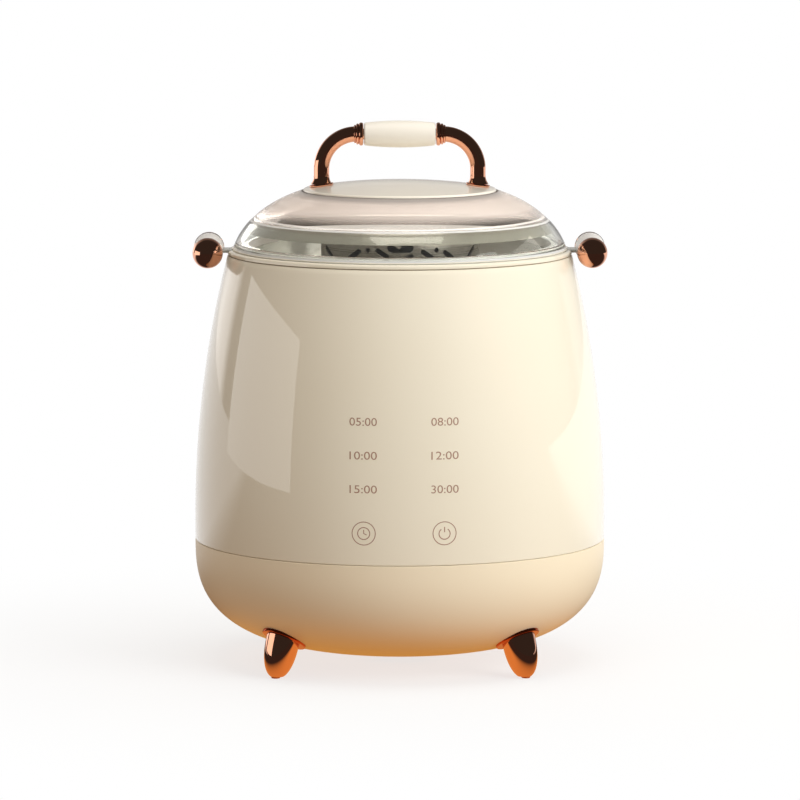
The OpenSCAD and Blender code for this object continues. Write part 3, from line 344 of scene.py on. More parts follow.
def clear_lid(name, crown, skirt, shoulder, low_edge, seat):
    """Clear plastic: veiled above the shoulder, painted highlights on two moulded edges, a painted
    shadow line at the seat.
    """
    p = Paint(name)
    height = p.along("Z")
    upper = p.ramp(height, shoulder - 0.001, shoulder + 0.001)
    clear = p.shader(Base_Color=p.between(upper, skirt, crown), Transmission_Weight=1.0, IOR=1.42,
                     Roughness=0.01 + p.grain(30, 2) * 0.01)
    milk = p.shader(Base_Color=(0.84, 0.765, 0.70, 1), Roughness=0.25)
    # The pale shader below is a painted highlight, mixed in at the shoulder ridge and at the lid's foot.
    painted_highlight = p.shader(Base_Color=(0.93, 0.93, 0.91, 1), Roughness=0.2)
    dark = p.shader(Base_Color=(0.07, 0.045, 0.03, 1), Roughness=0.3)
    veil = p.ramp(height, shoulder + 0.0015, shoulder + 0.006) * 0.5
    above = p.ramp(height, shoulder - 0.0006, shoulder - 0.0003)
    shoulder_highlight = above - p.ramp(height, shoulder + 0.0001, shoulder + 0.0004)
    foot = 1 - p.ramp(height, low_edge + 0.0006, low_edge + 0.0012)
    # The near-black shader is a painted shadow line where the top plate sits in the dome.
    shadow_line = 1 - p.ramp(p.reach(), seat + 0.0007, seat + 0.001)
    highlighted = p.mix(shoulder_highlight * 0.75 + foot * 0.7, p.mix(veil, clear, milk), painted_highlight)
    below, over = (p.node("ShaderNodeBsdfTransparent", None, {"Color": c}) for c in (skirt, crown))
    passed = p.mix(upper, below, over)
    return p.end(p.by_ray(p.mix(shadow_line, highlighted, dark), ("Is Shadow Ray", passed)))


CREAM = glossy_cream("body_cream", tone(243, 236, 217), tone(240, 231, 210), 0.3)
PLATE_CREAM = glossy_cream("plate_cream", tone(252, 246, 232), tone(248, 241, 225), 0.3)
BASE_CREAM = satin_cream("base_cream", tone(243, 231, 205), tone(240, 225, 197))
GRIP_CREAM = satin_cream("grip_cream", tone(243, 238, 226), tone(238, 232, 219), 0.26)
SIDE_GRIP = satin_cream("side_grip_white", tone(232, 230, 226), tone(225, 222, 217), 0.3)
COPPER = mirror_metal("rose_copper", tone(238, 176, 146), tone(232, 166, 134), 0.035, 0.03)
DARK_COPPER = mirror_metal("dark_copper", tone(205, 92, 48), tone(190, 80, 40), 0.12)
STEEL = drawn_steel("polished_steel", tone(206, 205, 196), 0.16)
TRIM_STEEL = drawn_steel("trim_steel", tone(142, 138, 127), 0.22, 0.03)
RACK_STEEL = drawn_steel("rack_steel", tone(140, 137, 128), 0.24, 0.03)
# A pale non-metal finish that paints a highlight on the pot's rolled flange edge.
FLANGE_HIGHLIGHT = plain_mould("satin_edge", tone(224, 219, 206), 0.35)
SHEET_STEEL = drawn_steel("sheet_steel", tone(190, 190, 188), 0.3, 0.12)
LID_CLEAR = clear_lid("lid_clear", tone(252, 243, 237), tone(250, 250, 245), SHOULDER_Z * MM, LID_Z * MM,
                      SEAT_R * MM)
PRINT = plain_mould("panel_print", tone(176, 138, 118), 0.4)
# Brown paint for the painted shadow in the recess under the rim ring.
GROOVE_SHADOW = plain_mould("groove_shadow", tone(150, 132, 104), 0.6)
PLAIN = {
    "cast_plate": plain_mould("cast_plate", tone(190, 190, 192), 0.35, 1.0),
    "dark_steel": plain_mould("dark_steel", tone(110, 106, 104), 0.4, 1.0),
    "bright_metal": plain_mould("bright_metal", tone(200, 200, 202), 0.22, 1.0),
    "contact_brass": plain_mould("contact_brass", tone(212, 170, 96), 0.25, 1.0),
    "black_plastic": plain_mould("black_plastic", tone(38, 37, 38), 0.45),
    "board_green": plain_mould("board_green", tone(28, 92, 58), 0.4),
    "lamp_white": plain_mould("lamp_white", tone(246, 240, 226), 0.3),
    "relay_blue": plain_mould("relay_blue", tone(40, 84, 150), 0.4),
    "transformer_yellow": plain_mould("transformer_yellow", tone(214, 190, 90), 0.45),
    "wire_cover": plain_mould("wire_cover", tone(214, 208, 200), 0.45),
    "pad_rubber": plain_mould("pad_rubber", tone(196, 108, 60), 0.5),
}
SLOT_PAINT = {"body_cream": CREAM, "base_cream": BASE_CREAM, "grip_cream": GRIP_CREAM,
              "copper": COPPER, "copper_dark": DARK_COPPER, "polished_steel": STEEL,
              "sheet_steel": SHEET_STEEL, "lid_clear": LID_CLEAR, **PLAIN}
SLOT_OF = {part["node"]: part["material_slot"] for part in frame["record"]["subparts"]}
for name, node in NODES.items():
    node.data.materials.clear()
    node.data.materials.append(SLOT_PAINT[SLOT_OF[name]])


# ---- Making meshes ----------------------------------------------------------------------

def settle(mesh, material, angle=38):
    """Closed, outward and smooth, with edges kept sharp past the angle."""
    work = bmesh.new()
    work.from_mesh(mesh)
    bmesh.ops.remove_doubles(work, verts=work.verts, dist=1e-7)
    bmesh.ops.recalc_face_normals(work, faces=work.faces)
    work.to_mesh(mesh)
    work.free()
    mesh.materials.clear()
    mesh.materials.append(material)
    mesh.polygons.foreach_set("use_smooth", [True] * len(mesh.polygons))
    mesh.set_sharp_from_angle(angle=math.radians(angle))
    mesh.update()
    return mesh


def keep(name, mesh):
    piece = bpy.data.objects.new(name, mesh)
    bpy.context.scene.collection.objects.link(piece)
    return piece


def turned_mesh(name, outline, count=256, frame_of=None):
    """A closed outline of (r, z) in millimetres, turned about Z, then placed by frame_of."""
    verts, faces = [], []
    rows = len(outline)
    for k in range(count):
        a = math.tau * k / count
        for r, z in outline:
            verts.append(Vector((r * math.cos(a), r * math.sin(a), z)) * MM)
    for k in range(count):
        for i in range(rows):
            a, b = k * rows + i, k * rows + (i + 1) % rows
            c, d = ((k + 1) % count) * rows + (i + 1) % rows, ((k + 1) % count) * rows + i
            faces.append((a, b, c, d))
    mesh = bpy.data.meshes.new(name)
    mesh.from_pydata([frame_of @ v if frame_of else v for v in verts], [], faces)
    clean = bmesh.new()
    clean.from_mesh(mesh)
    bmesh.ops.remove_doubles(clean, verts=clean.verts, dist=1e-7)
    bmesh.ops.dissolve_degenerate(clean, edges=clean.edges, dist=1e-8)
    clean.to_mesh(mesh)
    clean.free()
    return mesh


def turned(name, outline, material, count=256, frame_of=None, angle=38):
    return keep(name, settle(turned_mesh(name, outline, count, frame_of), material, angle))


def join(name, meshes, material, angle=38):
    """One mesh of several."""
    work = bmesh.new()
    for mesh in meshes:
        work.from_mesh(mesh)
    mesh = bpy.data.meshes.new(name)
    work.to_mesh(mesh)
    work.free()
    return keep(name, settle(mesh, material, angle))


def block_mesh(low, high, bevel=0.0):
    work = bmesh.new()
    bmesh.ops.create_cube(work, size=1.0)
    for v in work.verts:
        v.co = Vector([(l + h) / 2 + (h - l) * c for l, h, c in zip(low, high, v.co)]) * MM
    if bevel:
        bmesh.ops.bevel(work, geom=work.edges[:], offset=bevel * MM, segments=2,
                        affect="EDGES", profile=0.5)
    mesh = bpy.data.meshes.new("block")
    work.to_mesh(mesh)
    work.free()
    return mesh


def evaluated(piece):
    """What the piece comes out as, as a plain mesh."""
    graph = bpy.context.evaluated_depsgraph_get()
    return bpy.data.meshes.new_from_object(piece.evaluated_get(graph))


def bake(piece):
    """The piece's mesh after its modifier, which goes."""
    mesh = evaluated(piece)
    piece.modifiers.clear()
    piece.data = mesh
    return mesh


def carve(piece, cutters, material, angle=38):
    """Takes the cutters' meshes out of a piece."""
    work = bmesh.new()
    for mesh in cutters:
        work.from_mesh(mesh)
    bmesh.ops.recalc_face_normals(work, faces=work.faces)
    cut_mesh = bpy.data.meshes.new("cutter")
    work.to_mesh(cut_mesh)
    work.free()
    cutter = keep("cutter", cut_mesh)
    step = piece.modifiers.new("carve", "BOOLEAN")
    step.operation, step.solver, step.object = "DIFFERENCE", "EXACT", cutter
    fresh = bake(piece)
    bpy.data.objects.remove(cutter)
    fresh.polygons.foreach_set("use_smooth", [True] * len(fresh.polygons))
    fresh.set_sharp_from_angle(angle=math.radians(angle))
    fresh.materials.clear()
    fresh.materials.append(material)
    return piece


def tube_mesh(name, path, radius, sides=40):
    """A round bar along a path, in millimetres, with closed ends."""
    verts, faces = [], []
    for i, point in enumerate(path):
        after, before = path[min(i + 1, len(path) - 1)], path[max(i - 1, 0)]
        ahead = (Vector(after) - Vector(before)).normalized()
        across = ahead.cross(Vector((0, 1, 0)))
        if across.length < 1e-3:
            across = ahead.cross(Vector((1, 0, 0)))
        across.normalize()
        other = ahead.cross(across)
        for k in range(sides):
            a = math.tau * k / sides
            verts.append((Vector(point) + (across * math.cos(a) + other * math.sin(a)) * radius) * MM)
    for i in range(len(path) - 1):
        for k in range(sides):
            a, b = i * sides + k, i * sides + (k + 1) % sides
            faces.append((a, b, b + sides, a + sides))
    faces.append(tuple(range(sides - 1, -1, -1)))
    faces.append(tuple(range((len(path) - 1) * sides, len(path) * sides)))
    mesh = bpy.data.meshes.new(name)
    mesh.from_pydata(verts, [], faces)
    return mesh


def ring_of(name, mesh, count, start, material, angle=38):
    """The same piece set round the upright axis, the first at start degrees."""
    s = Shaping(name, {"Count": count, "First angle": math.radians(start)})
    share = math.tau / s.given("Count")
    way = s.node("GeometryNodeInputIndex") * share + s.given("First angle")
    points = s.node("GeometryNodePoints", None, {"Count": s.given("Count")})
    placed = s.node("GeometryNodeInstanceOnPoints", None,
                    {"Points": points, "Instance": s.given("Piece"),
                     "Rotation": s.node("ShaderNodeCombineXYZ", None, {"Z": way})})
    return s.make(name, mesh, placed, material, angle)


def coil(name, radius, wire, turns, low, high, material):
    """A wire wound about the upright axis between two heights, in millimetres."""
    s = Shaping(name, {"Turns": float(turns), "Radius": radius * MM, "Wire": wire * MM,
                       "Low": (low + wire) * MM, "Height": (high - low - 2 * wire) * MM})
    spiral = s.node("GeometryNodeCurveSpiral", None,
                    {"Resolution": 48, "Rotations": s.given("Turns"), "Start Radius": s.given("Radius"),
                     "End Radius": s.given("Radius"), "Height": s.given("Height")})
    ring = s.node("GeometryNodeCurvePrimitiveCircle", None,
                  {"Resolution": 16, "Radius": s.given("Wire")})
    swept = s.node("GeometryNodeCurveToMesh", None,
                   {"Curve": spiral, "Profile Curve": ring, "Fill Caps": True})
    lift = s.node("ShaderNodeCombineXYZ", None, {"Z": s.given("Low")})
    lifted = s.node("GeometryNodeTransform", None, {"Geometry": swept, "Translation": lift})
    return s.make(name, bpy.data.meshes.new(name), lifted, material)


def belongs(piece, body, slot, *nodes):
    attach(piece, body)
    if nodes:
        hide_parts(*nodes)
    return piece


# ---- Shells -----------------------------------------------------------------------------

top_z, low_z = RIM_Z - 0.2, SEAM_Z + 0.15
shell = [(side_r(low_z) - SHELL_WALL, low_z), (side_r(low_z) - 0.35, low_z),
         (side_r(low_z + 0.25), low_z + 0.3)]
shell += [(side_r(z), z) for z in steps(low_z + 1, top_z - 0.5, 60)]
shell += [(side_r(top_z) - 0.3, top_z), (side_r(top_z) - SHELL_WALL, top_z)]
shell += [(side_r(z) - SHELL_WALL, z) for z in steps(top_z - 1, low_z + 1, 20)]
upper_shell = turned("upper_shell_skin", shell, CREAM, FINE)
belongs(upper_shell, "base", "body_cream", "upper_shell")

bowl_angles = [t for t in steps(0, 90, 90) if belly(t)[0] > COVER_R]
bowl = [(belly(0)[0] - 0.3, SEAM_Z), (belly(0)[0], SEAM_Z - 0.3)]
bowl += [belly(t) for t in bowl_angles[1:]]
bowl += [(COVER_R, belly_height(COVER_R)), (COVER_R, belly_height(COVER_R) + COVER_STEP),
         (COVER_LIP_R, belly_height(COVER_LIP_R) + COVER_STEP),
         (COVER_LIP_R, belly_height(COVER_LIP_R) + 4.6), (52, belly_height(52) + 4.2)]
bowl += [belly(t, BOWL_WALL) for t in reversed(bowl_angles)
         if belly(t, BOWL_WALL)[0] > 54 and t > 1]
tongue = side_r(SEAM_Z) - 2.65
bowl += [(tongue - 1.6, SEAM_Z - 3), (tongue - 1.6, SEAM_Z + 4.7), (tongue - 0.3, SEAM_Z + 5),
         (tongue, SEAM_Z + 4.7), (tongue, SEAM_Z)]
lower_shell = turned("lower_shell_skin", bowl, BASE_CREAM, FINE)
inlet_hole = block_mesh((-14.15, 64, 27.85), (14.15, 120, 48.15))
carve(lower_shell, [inlet_hole], BASE_CREAM)
belongs(lower_shell, "base", "base_cream", "lower_shell")

ring_r = side_r(RIM_Z)
ring = [(72.8, 186), (ring_r - 2.65, 186), (ring_r - 2.65, 188.8), (ring_r - 1, 188.8),
        (ring_r - 1, 189.2), (ring_r - 0.2, 189.2), (ring_r, 189.4)]
ring += turn((ring_r - 1.2, RING_TOP - 1.2), 1.2, 0, 90, 8)
ring += turn((73.2, RING_TOP - 0.4), 0.4, 90, 180, 4)
rim_ring = turned("rim_ring_skin", ring, CREAM, FINE)
notch = [block_mesh((x, -8.3, 189.8), (x + 60, 8.3, 195)) for x in (60, -120)]
carve(rim_ring, notch, CREAM)
belongs(rim_ring, "base", "body_cream", "rim_ring")

# The recess under the ring shows as a fine brown line, a painted shadow.
shadow_line = [(ring_r - 1.2, 188.82), (ring_r - 0.55, 188.82), (ring_r - 0.55, 189.18),
          (ring_r - 1.2, 189.18)]
line = turned("rim_shadow_line", shadow_line, GROOVE_SHADOW, FINE)
belongs(line, "base", "body_cream")


# ---- Feet -------------------------------------------------------------------------------

root_z = belly_height(FOOT_ROOT)
slope = math.degrees(math.atan(belly_height(FOOT_ROOT + 0.5) - belly_height(FOOT_ROOT - 0.5)))
reach = root_z / math.cos(math.radians(FOOT_LEAN))
tip_r = FOOT_ROOT + reach * math.sin(math.radians(FOOT_LEAN))
root_frame = (Matrix.Translation((FOOT_ROOT * MM, 0, root_z * MM))
              @ Matrix.Rotation(math.radians(180 - slope), 4, "Y"))
tip_frame = (Matrix.Translation(((tip_r + 0.9) * MM, 0, 0))
             @ Matrix.Rotation(math.radians(-FOOT_LEAN - 1), 4, "Y"))
bullet = [(AXIS, 0.35)] + [(FOOT_R * (1 - (1 - s) ** NOSE) ** (1 / NOSE), reach * s)
                            for s in (1 - math.cos(math.radians(t)) for t in steps(8, 90, 40))]
bullet += [(FOOT_R, reach + 4), (AXIS, reach + 4)]
foot_mesh = turned_mesh("foot", bullet, 96, tip_frame)
foot = keep("foot", settle(foot_mesh, COPPER))
above_root = turned_mesh("above", [(AXIS, -30), (30, -30), (30, 0.45), (AXIS, 0.45)], 48, root_frame)
under_pad = block_mesh((40, -20, -10), (120, 20, 0.8))
carve(foot, [above_root, under_pad], COPPER, 50)
feet = ring_of("feet_skin", foot.data.copy(), 4, 45, COPPER, 50)
bpy.data.objects.remove(foot)
belongs(feet, "base", "copper", "feet")

pad = [(AXIS, 0), (1.5, 0)] + turn((1.5, 0.6), 0.6, -90, 0, 4)
pad += [(2.2, 0.8), (1.0, 0.8), (1.0, 3.7), (AXIS, 3.7)]
pad_mesh = turned_mesh("pad", pad, 48, Matrix.Translation(((tip_r + 0.4) * MM, 0, 0)))
pads = ring_of("foot_pads_skin", pad_mesh, 4, 45, PLAIN["pad_rubber"])
belongs(pads, "base", SLOT_OF["foot_pads"], "foot_pads")

COVER_SCREW_R, SCREW_HEAD_R, SCREW_Z = 41.45, 2.3, 7.25
screw = [(AXIS, SCREW_Z + 0.6), (0.6, SCREW_Z + 0.6), (0.8, SCREW_Z + 0.05), (1.0, SCREW_Z)]
screw += turn((SCREW_HEAD_R - 0.4, SCREW_Z + 0.4), 0.4, -90, 0, 5)
screw += [(SCREW_HEAD_R, SCREW_Z + 1.0), (1.25, SCREW_Z + 1.2), (1.25, 13.5), (AXIS, 13.6)]
screw_place = Matrix.Translation((COVER_SCREW_R * MM, 0, 0))
screws = ring_of("cover_screws_skin", turned_mesh("screw", screw, 48, screw_place), 4, 45, SHEET_STEEL)
belongs(screws, "base", SLOT_OF["cover_screws"], "cover_screws")

collar = [(AXIS, -1.0), (10.5, -1.0)] + turn((10.1, 0.0), 0.4, 0, 90, 5) + [(8.2, 0.4), (AXIS, 0.4)]
collars = ring_of("foot_collars_skin", turned_mesh("collar", collar, 96, root_frame), 4, 45, DARK_COPPER)
belongs(collars, "base", "copper_dark", "foot_collars")


# ---- Pot and side handles ---------------------------------------------------------------

ledge_z = FLANGE_TOP - LEDGE_DROP
low_r = POT_R - 1.4
bend = (low_r - POT_BEND, POT_FLOOR + POT_BEND)
pot = [(AXIS, POT_FLOOR)] + turn(bend, POT_BEND, 270, 360, 12)
pot += [(low_r, ledge_z - 0.9), (POT_R, ledge_z + 0.5), (POT_R, RING_TOP - 0.8)]
pot += [(POT_R + 0.25, RING_TOP - 0.02), (77.0, RING_TOP)]
pot += turn((77.0, RING_TOP + 0.4), 0.4, -60, 90, 5)
pot += turn((72.4, FLANGE_TOP - 0.8), 0.8, 90, 180, 5)
pot += [(POT_R - 0.9, ledge_z + 0.6), (POT_R - 1.2, ledge_z + 0.02), (low_r - 0.5, ledge_z)]
pot += turn((low_r - 1.5, ledge_z - 0.6), 0.6, 60, 0, 3)
pot += turn(bend, POT_BEND - POT_WALL, 360, 270, 12) + [(AXIS, POT_FLOOR + POT_WALL)]
inner_pot = turned("inner_pot_skin", pot, STEEL, FINE)
# The rolled flange edge takes the pale finish as a painted highlight.
inner_pot.data.materials.append(FLANGE_HIGHLIGHT)
for face in inner_pot.data.polygons:
    if face.center.xy.length > 76.9 * MM and face.normal.z > -0.6:
        face.material_index = 1
belongs(inner_pot, "pot", "polished_steel", "inner_pot")

ARM_MID = RING_TOP - 0.55
arms = []
for s in (-1, 1):
    lo, hi = sorted((s * 72.9, s * (GRIP_X + 1)))
    arms.append(block_mesh((lo, -8, RING_TOP - 1.1), (hi, 8, RING_TOP), 0.18))
    rod = Matrix.Translation((s * GRIP_X * MM, 0, ARM_MID * MM)) @ Matrix.Rotation(math.pi / 2, 4, "X")
    arms.append(turned_mesh("rod", [(AXIS, -17.9), (2.5, -17.9), (2.5, 17.9), (AXIS, 17.9)], 32, rod))
pot_arms = join("pot_arms_skin", arms, STEEL)
belongs(pot_arms, "pot", "polished_steel", "pot_arms")

barrel = [(2.56, -GRIP_L / 2)] + turn((GRIP_R - 0.4, -GRIP_L / 2 + 0.4), 0.4, -90, 0, 4)
barrel += turn((GRIP_R - 0.4, GRIP_L / 2 - 0.4), 0.4, 0, 90, 4) + [(2.56, GRIP_L / 2)]
cap = [(AXIS, 4.1), (2.55, 4.1), (2.55, 0), (CAP_R - 0.25, 0), (CAP_R, 0.25), (CAP_R, CAP_BAND - 0.2),
       (CAP_R - 0.12, CAP_BAND)]
cap += turn((0, CAP_BAND), CAP_R - 0.02, 2, 89.9, 24)
grips, caps = [], []
for s in (-1, 1):
    centre = Matrix.Translation((s * GRIP_X * MM, 0, ARM_MID * MM))
    grips.append(turned_mesh("barrel", barrel, 96, centre @ Matrix.Rotation(-math.pi / 2, 4, "X")))
    for t in (0, math.pi):
        end = centre @ Matrix.Rotation(t, 4, "Z") @ Matrix.Translation((0, GRIP_L / 2 * MM, 0))
        caps.append(turned_mesh("cap", cap, 96, end @ Matrix.Rotation(-math.pi / 2, 4, "X")))
side_grips = join("side_grips_skin", grips, SIDE_GRIP)
slits = []
for s in (-1, 1):
    lo, hi = sorted((s * 80, s * GRIP_X))
    slits.append(block_mesh((lo, -8.05, RING_TOP - 1.15), (hi, 8.05, RING_TOP + 0.05)))
carve(side_grips, slits, SIDE_GRIP)
belongs(side_grips, "pot", "grip_cream", "side_grips")
belongs(join("grip_caps_skin", caps, COPPER), "pot", "copper", "grip_caps")


# ---- Sensor spring ----------------------------------------------------------------------

SPRING_LOW, SPRING_HIGH, SPRING_R, SPRING_WIRE, SPRING_TURNS = 51.6, 69.6, 7.0, 0.5, 5
spring = coil("sensor_spring_skin", SPRING_R, SPRING_WIRE, SPRING_TURNS, SPRING_LOW, SPRING_HIGH,
              SHEET_STEEL)
belongs(spring, "base", SLOT_OF["sensor_spring"], "sensor_spring")
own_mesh(spring)


# ---- Steam rack -------------------------------------------------------------------------

RACK_Z, RACK_T = ledge_z + 0.3, 0.8
RACK_R, RACK_LIP = POT_R - POT_WALL - 0.3, 3.0
HAT_R, HAT_H, HAT_ROUND, HAT_FLARE = POT_R - 37.0, 22.0, 5.0, 4.0
HAT_TOP, HAT_WALL = RACK_Z + HAT_H, POT_R - 37.0 + RACK_T
SLOT_W, LOW_VENT, HIGH_VENT, VENT_TILT = 2.2, 14.0, 16.6, 32.0


def hat_line(inset):
    """The raised centre from its flare up to the axis; inset is the sheet."""
    flare = (HAT_WALL + HAT_FLARE, RACK_Z + RACK_T + HAT_FLARE - inset)
    return (turn(flare, HAT_FLARE + inset, 270, 180, 12)
            + turn((HAT_WALL - HAT_ROUND, HAT_TOP - HAT_ROUND), HAT_ROUND - inset, 0, 90, 14)
            + [(AXIS, HAT_TOP - inset)])


def wall_cut(angle, height, tilt, length, width):
    """A slot-shaped cutter through the hat's wall."""
    half = max((length - width) / 2, 0.001)
    rim = [(half + x, y) for x, y in turn((0, 0), width / 2, -90, 90, 10)]
    rim += [(-half + x, y) for x, y in turn((0, 0), width / 2, 90, 270, 10)]
    place = (Matrix.Rotation(math.radians(angle), 4, "Z")
             @ Matrix.Translation((0, (-HAT_R + HAT_ROUND) * MM, (RACK_Z + height) * MM))
             @ Matrix.Rotation(math.pi / 2, 4, "X") @ Matrix.Rotation(math.radians(tilt), 4, "Z"))
    depth = 2 * (HAT_FLARE + HAT_ROUND)
    verts = [place @ (Vector((x, y, z)) * MM) for z in (0, depth) for x, y in rim]
    n = len(rim)
    faces = [tuple(range(n - 1, -1, -1)), tuple(range(n, 2 * n))]
    faces += [(i, (i + 1) % n, n + (i + 1) % n, n + i) for i in range(n)]
    mesh = bpy.data.meshes.new("cut")
    mesh.from_pydata(verts, [], faces)
    return mesh


VENTS = ((0, HAT_H - 4, 0, 12.0, 4.6), (-36, LOW_VENT, VENT_TILT, 9.5, SLOT_W),
         (-13, HIGH_VENT - 1.4, -VENT_TILT, 7.5, SLOT_W), (4, LOW_VENT - 1.4, VENT_TILT, 8.0, SLOT_W),
         (20, LOW_VENT + 0.6, -VENT_TILT, 7.5, SLOT_W), (39, LOW_VENT - 0.6, -VENT_TILT, 9.5, SLOT_W),
         (-24, HIGH_VENT, 0, SLOT_W, SLOT_W), (27, HIGH_VENT, 0, SLOT_W, SLOT_W),
         (-63, LOW_VENT, -VENT_TILT, 9.5, SLOT_W), (63, LOW_VENT, VENT_TILT, 9.5, SLOT_W))
rolled = turn((RACK_R - RACK_T / 2, RACK_Z + RACK_LIP - RACK_T / 2), RACK_T / 2, 0, 180, 6)
sheet = rolled + [(RACK_R - RACK_T, RACK_Z + RACK_T + 0.3), (RACK_R - RACK_T - 0.3, RACK_Z + RACK_T)]
sheet += hat_line(0) + hat_line(RACK_T)[::-1] + [(RACK_R - 0.4, RACK_Z), (RACK_R, RACK_Z + 0.4)]
rack = turned("steam_rack_skin", sheet, RACK_STEEL, 192)
carve(rack, [wall_cut(v[0] + back, *v[1:]) for v in VENTS for back in (0, 180)], RACK_STEEL, 30)
belongs(rack, "rack", SLOT_OF["steam_rack"], "steam_rack")


# ---- Lid --------------------------------------------------------------------------------

plate_z = crown_height(PLATE_R) - PLATE_SEAT
skirt_slope = math.atan2(SHOULDER_H, LID_R - SHOULDER_R)
shift = LID_WALL / math.sin(skirt_slope)


def skirt(offset, count=16):
    return arc((LID_R - offset, LID_Z), (SHOULDER_R + 0.7 - offset, SHOULDER_Z - 0.5), SKIRT_ARC, count)


dome = skirt(0) + [(r, crown_height(r)) for r in steps(SHOULDER_R, SEAT_R + 0.3, 28)]
dome += [(SEAT_R, crown_height(SEAT_R) - 0.3), (SEAT_R, plate_z), (AXIS, plate_z),
         (AXIS, plate_z - LID_WALL)]
dome += [(r, min(crown_height(r, LID_WALL), plate_z - LID_WALL))
         for r in steps(SEAT_R - LID_WALL, SHOULDER_R - LID_WALL, 28)]
dome += [p for p in reversed(skirt(shift)) if p[1] > LID_Z + 1.4]
dome += [(LID_R - shift, LID_Z + 1.4), (69.9, LID_Z + 1.4), (69.9, LID_Z - 2.4), (70.1, LID_Z - 2.6),
         (71.1, LID_Z - 2.6), (71.3, LID_Z - 2.4), (71.3, LID_Z)]
lid_dome = turned("lid_dome_skin", dome, LID_CLEAR, FINE, angle=30)
belongs(lid_dome, "lid", "lid_clear", "lid_dome")

band_top, band_low = SHOULDER_Z - 1.2, SHOULDER_Z - 6.1
outer_band = [p for p in skirt(shift + 0.15, 60) if band_low <= p[1] <= band_top]
inner_band = [p for p in skirt(shift + 0.75, 60) if band_low <= p[1] <= band_top]
trim = turned("lid_trim_skin", outer_band + inner_band[::-1], TRIM_STEEL, FINE)
belongs(trim, "lid", "polished_steel", "lid_trim_ring")

sphere_z = plate_z + PLATE_EDGE - math.sqrt(PLATE_CROWN ** 2 - PLATE_R ** 2)


def plate_height(r):
    return sphere_z + math.sqrt(PLATE_CROWN ** 2 - r * r)


plate = [(AXIS, plate_z), (PLATE_R - 0.1, plate_z), (PLATE_R, plate_z + 0.1)]
plate += turn((PLATE_R - 1, plate_height(PLATE_R - 1) - 1), 1, 0, 82, 8)
plate += [(r, plate_height(r)) for r in steps(PLATE_R - 1.4, AXIS, 30)]
top_plate = turned("lid_top_plate_skin", plate, PLATE_CREAM, 256)
belongs(top_plate, "lid", "body_cream", "lid_top_plate")


# ---- Arched handle ----------------------------------------------------------------------

leg_z = plate_height(SPAN / 2)
tilt = math.asin(SPAN / 2 / PLATE_CROWN)
bars = []
for s in (-1, 1):
    path = [(s * SPAN / 2, 0, z) for z in steps(leg_z + 1.1, BAR_Z - BEND, 6)]
    path += [(s * (SPAN / 2 - BEND + BEND * math.cos(a)), 0, BAR_Z - BEND + BEND * math.sin(a))
             for a in steps(0, math.pi / 2, 28)[1:]]
    path += [(s * x, 0, BAR_Z) for x in (19, 17.2)]
    bars.append(tube_mesh("bar", path, BAR_R, 64))
bars.append(tube_mesh("rod", [(-17.5, 0, BAR_Z), (17.5, 0, BAR_Z)], 2.5))
belongs(join("handle_bar_skin", bars, COPPER), "lid", "copper", "handle_bar")

hold_arc = (HOLD ** 2 + 1.0 ** 2) / 2.0


def hold_r(x):
    """The lid grip's radius at x from its middle: a shallow barrel with eased ends."""
    eased = max(HOLD_EDGE - (HOLD - abs(x)), 0)
    return math.sqrt(hold_arc ** 2 - x * x) - hold_arc + HOLD_R - eased


ends = [HOLD - d for d in (0, 0.15, 0.4, 0.6)]
along_grip = [-x for x in ends] + steps(1 - HOLD, HOLD - 1, 40) + ends[::-1]
grip = [(HOLD_BORE, -HOLD)] + [(hold_r(x), x) for x in along_grip] + [(HOLD_BORE, HOLD)]
lying = Matrix.Translation((0, 0, BAR_Z * MM)) @ Matrix.Rotation(math.pi / 2, 4, "Y")
belongs(turned("handle_grip_skin", grip, GRIP_CREAM, 128, lying), "lid", "grip_cream", "handle_grip")

beads = []
for s in (0, math.pi):
    out = (Matrix.Rotation(s, 4, "Z") @ Matrix.Translation((16.8 * MM, 0, BAR_Z * MM))
           @ Matrix.Rotation(math.pi / 2, 4, "Y"))
    line = []
    for start, width, r in ((0, 2.0, 5.35), (2.0, 1.3, 4.85), (3.3, 1.0, 4.25)):
        e = width * 0.42
        line += turn((r - e, start + e), e, -80, 0, 6) + turn((r - e, start + width - e), e, 0, 80, 6)
    beads.append(turned_mesh("beads", [(3.65, 0)] + line + [(3.65, 4.3)], 96, out))
belongs(join("handle_collars_skin", beads, COPPER, 30), "lid", "copper", "handle_collars")

flares = []
for s in (0, math.pi):
    leg = Matrix.Rotation(s, 4, "Z") @ Matrix.Translation((SPAN / 2 * MM, 0, leg_z * MM))
    disc = [(1.6, 0.02), (5.3, 0.02)] + turn((5.2, 0.55), 0.4, -60, 90, 6) + [(4.6, 1.1), (1.6, 1.1)]
    flares.append(turned_mesh("disc", disc, 96, leg @ Matrix.Rotation(tilt, 4, "Y")))
    neck = [(3.65, 0.9), (4.9, 0.9)]
    neck += [(3.66 + 1.2 * (1 - t) ** 2.2, 1.0 + 3.5 * t) for t in steps(0, 1, 12)] + [(3.65, 4.5)]
    flares.append(turned_mesh("neck", neck, 96, leg))
belongs(join("handle_flanges_skin", flares, COPPER, 50), "lid", "copper", "handle_flanges")


# ---- Panel prints -----------------------------------------------------------------------

PRINT_LIFT, TIME_SIZE, TIME_Z, ROW_STEP = 0.02, (12.3, 3.6), 121.9, 15.1
TIME_X, KEY_X, KEY_Z, KEY_R, KEY_LINE = (-18.3, 18.4), (-18.1, 18.2), 71.8, 5.2, 0.4


def onto_side(x, z):
    r = side_r(z) + PRINT_LIFT
    return Vector((x, -math.sqrt(r * r - x * x), z)) * MM


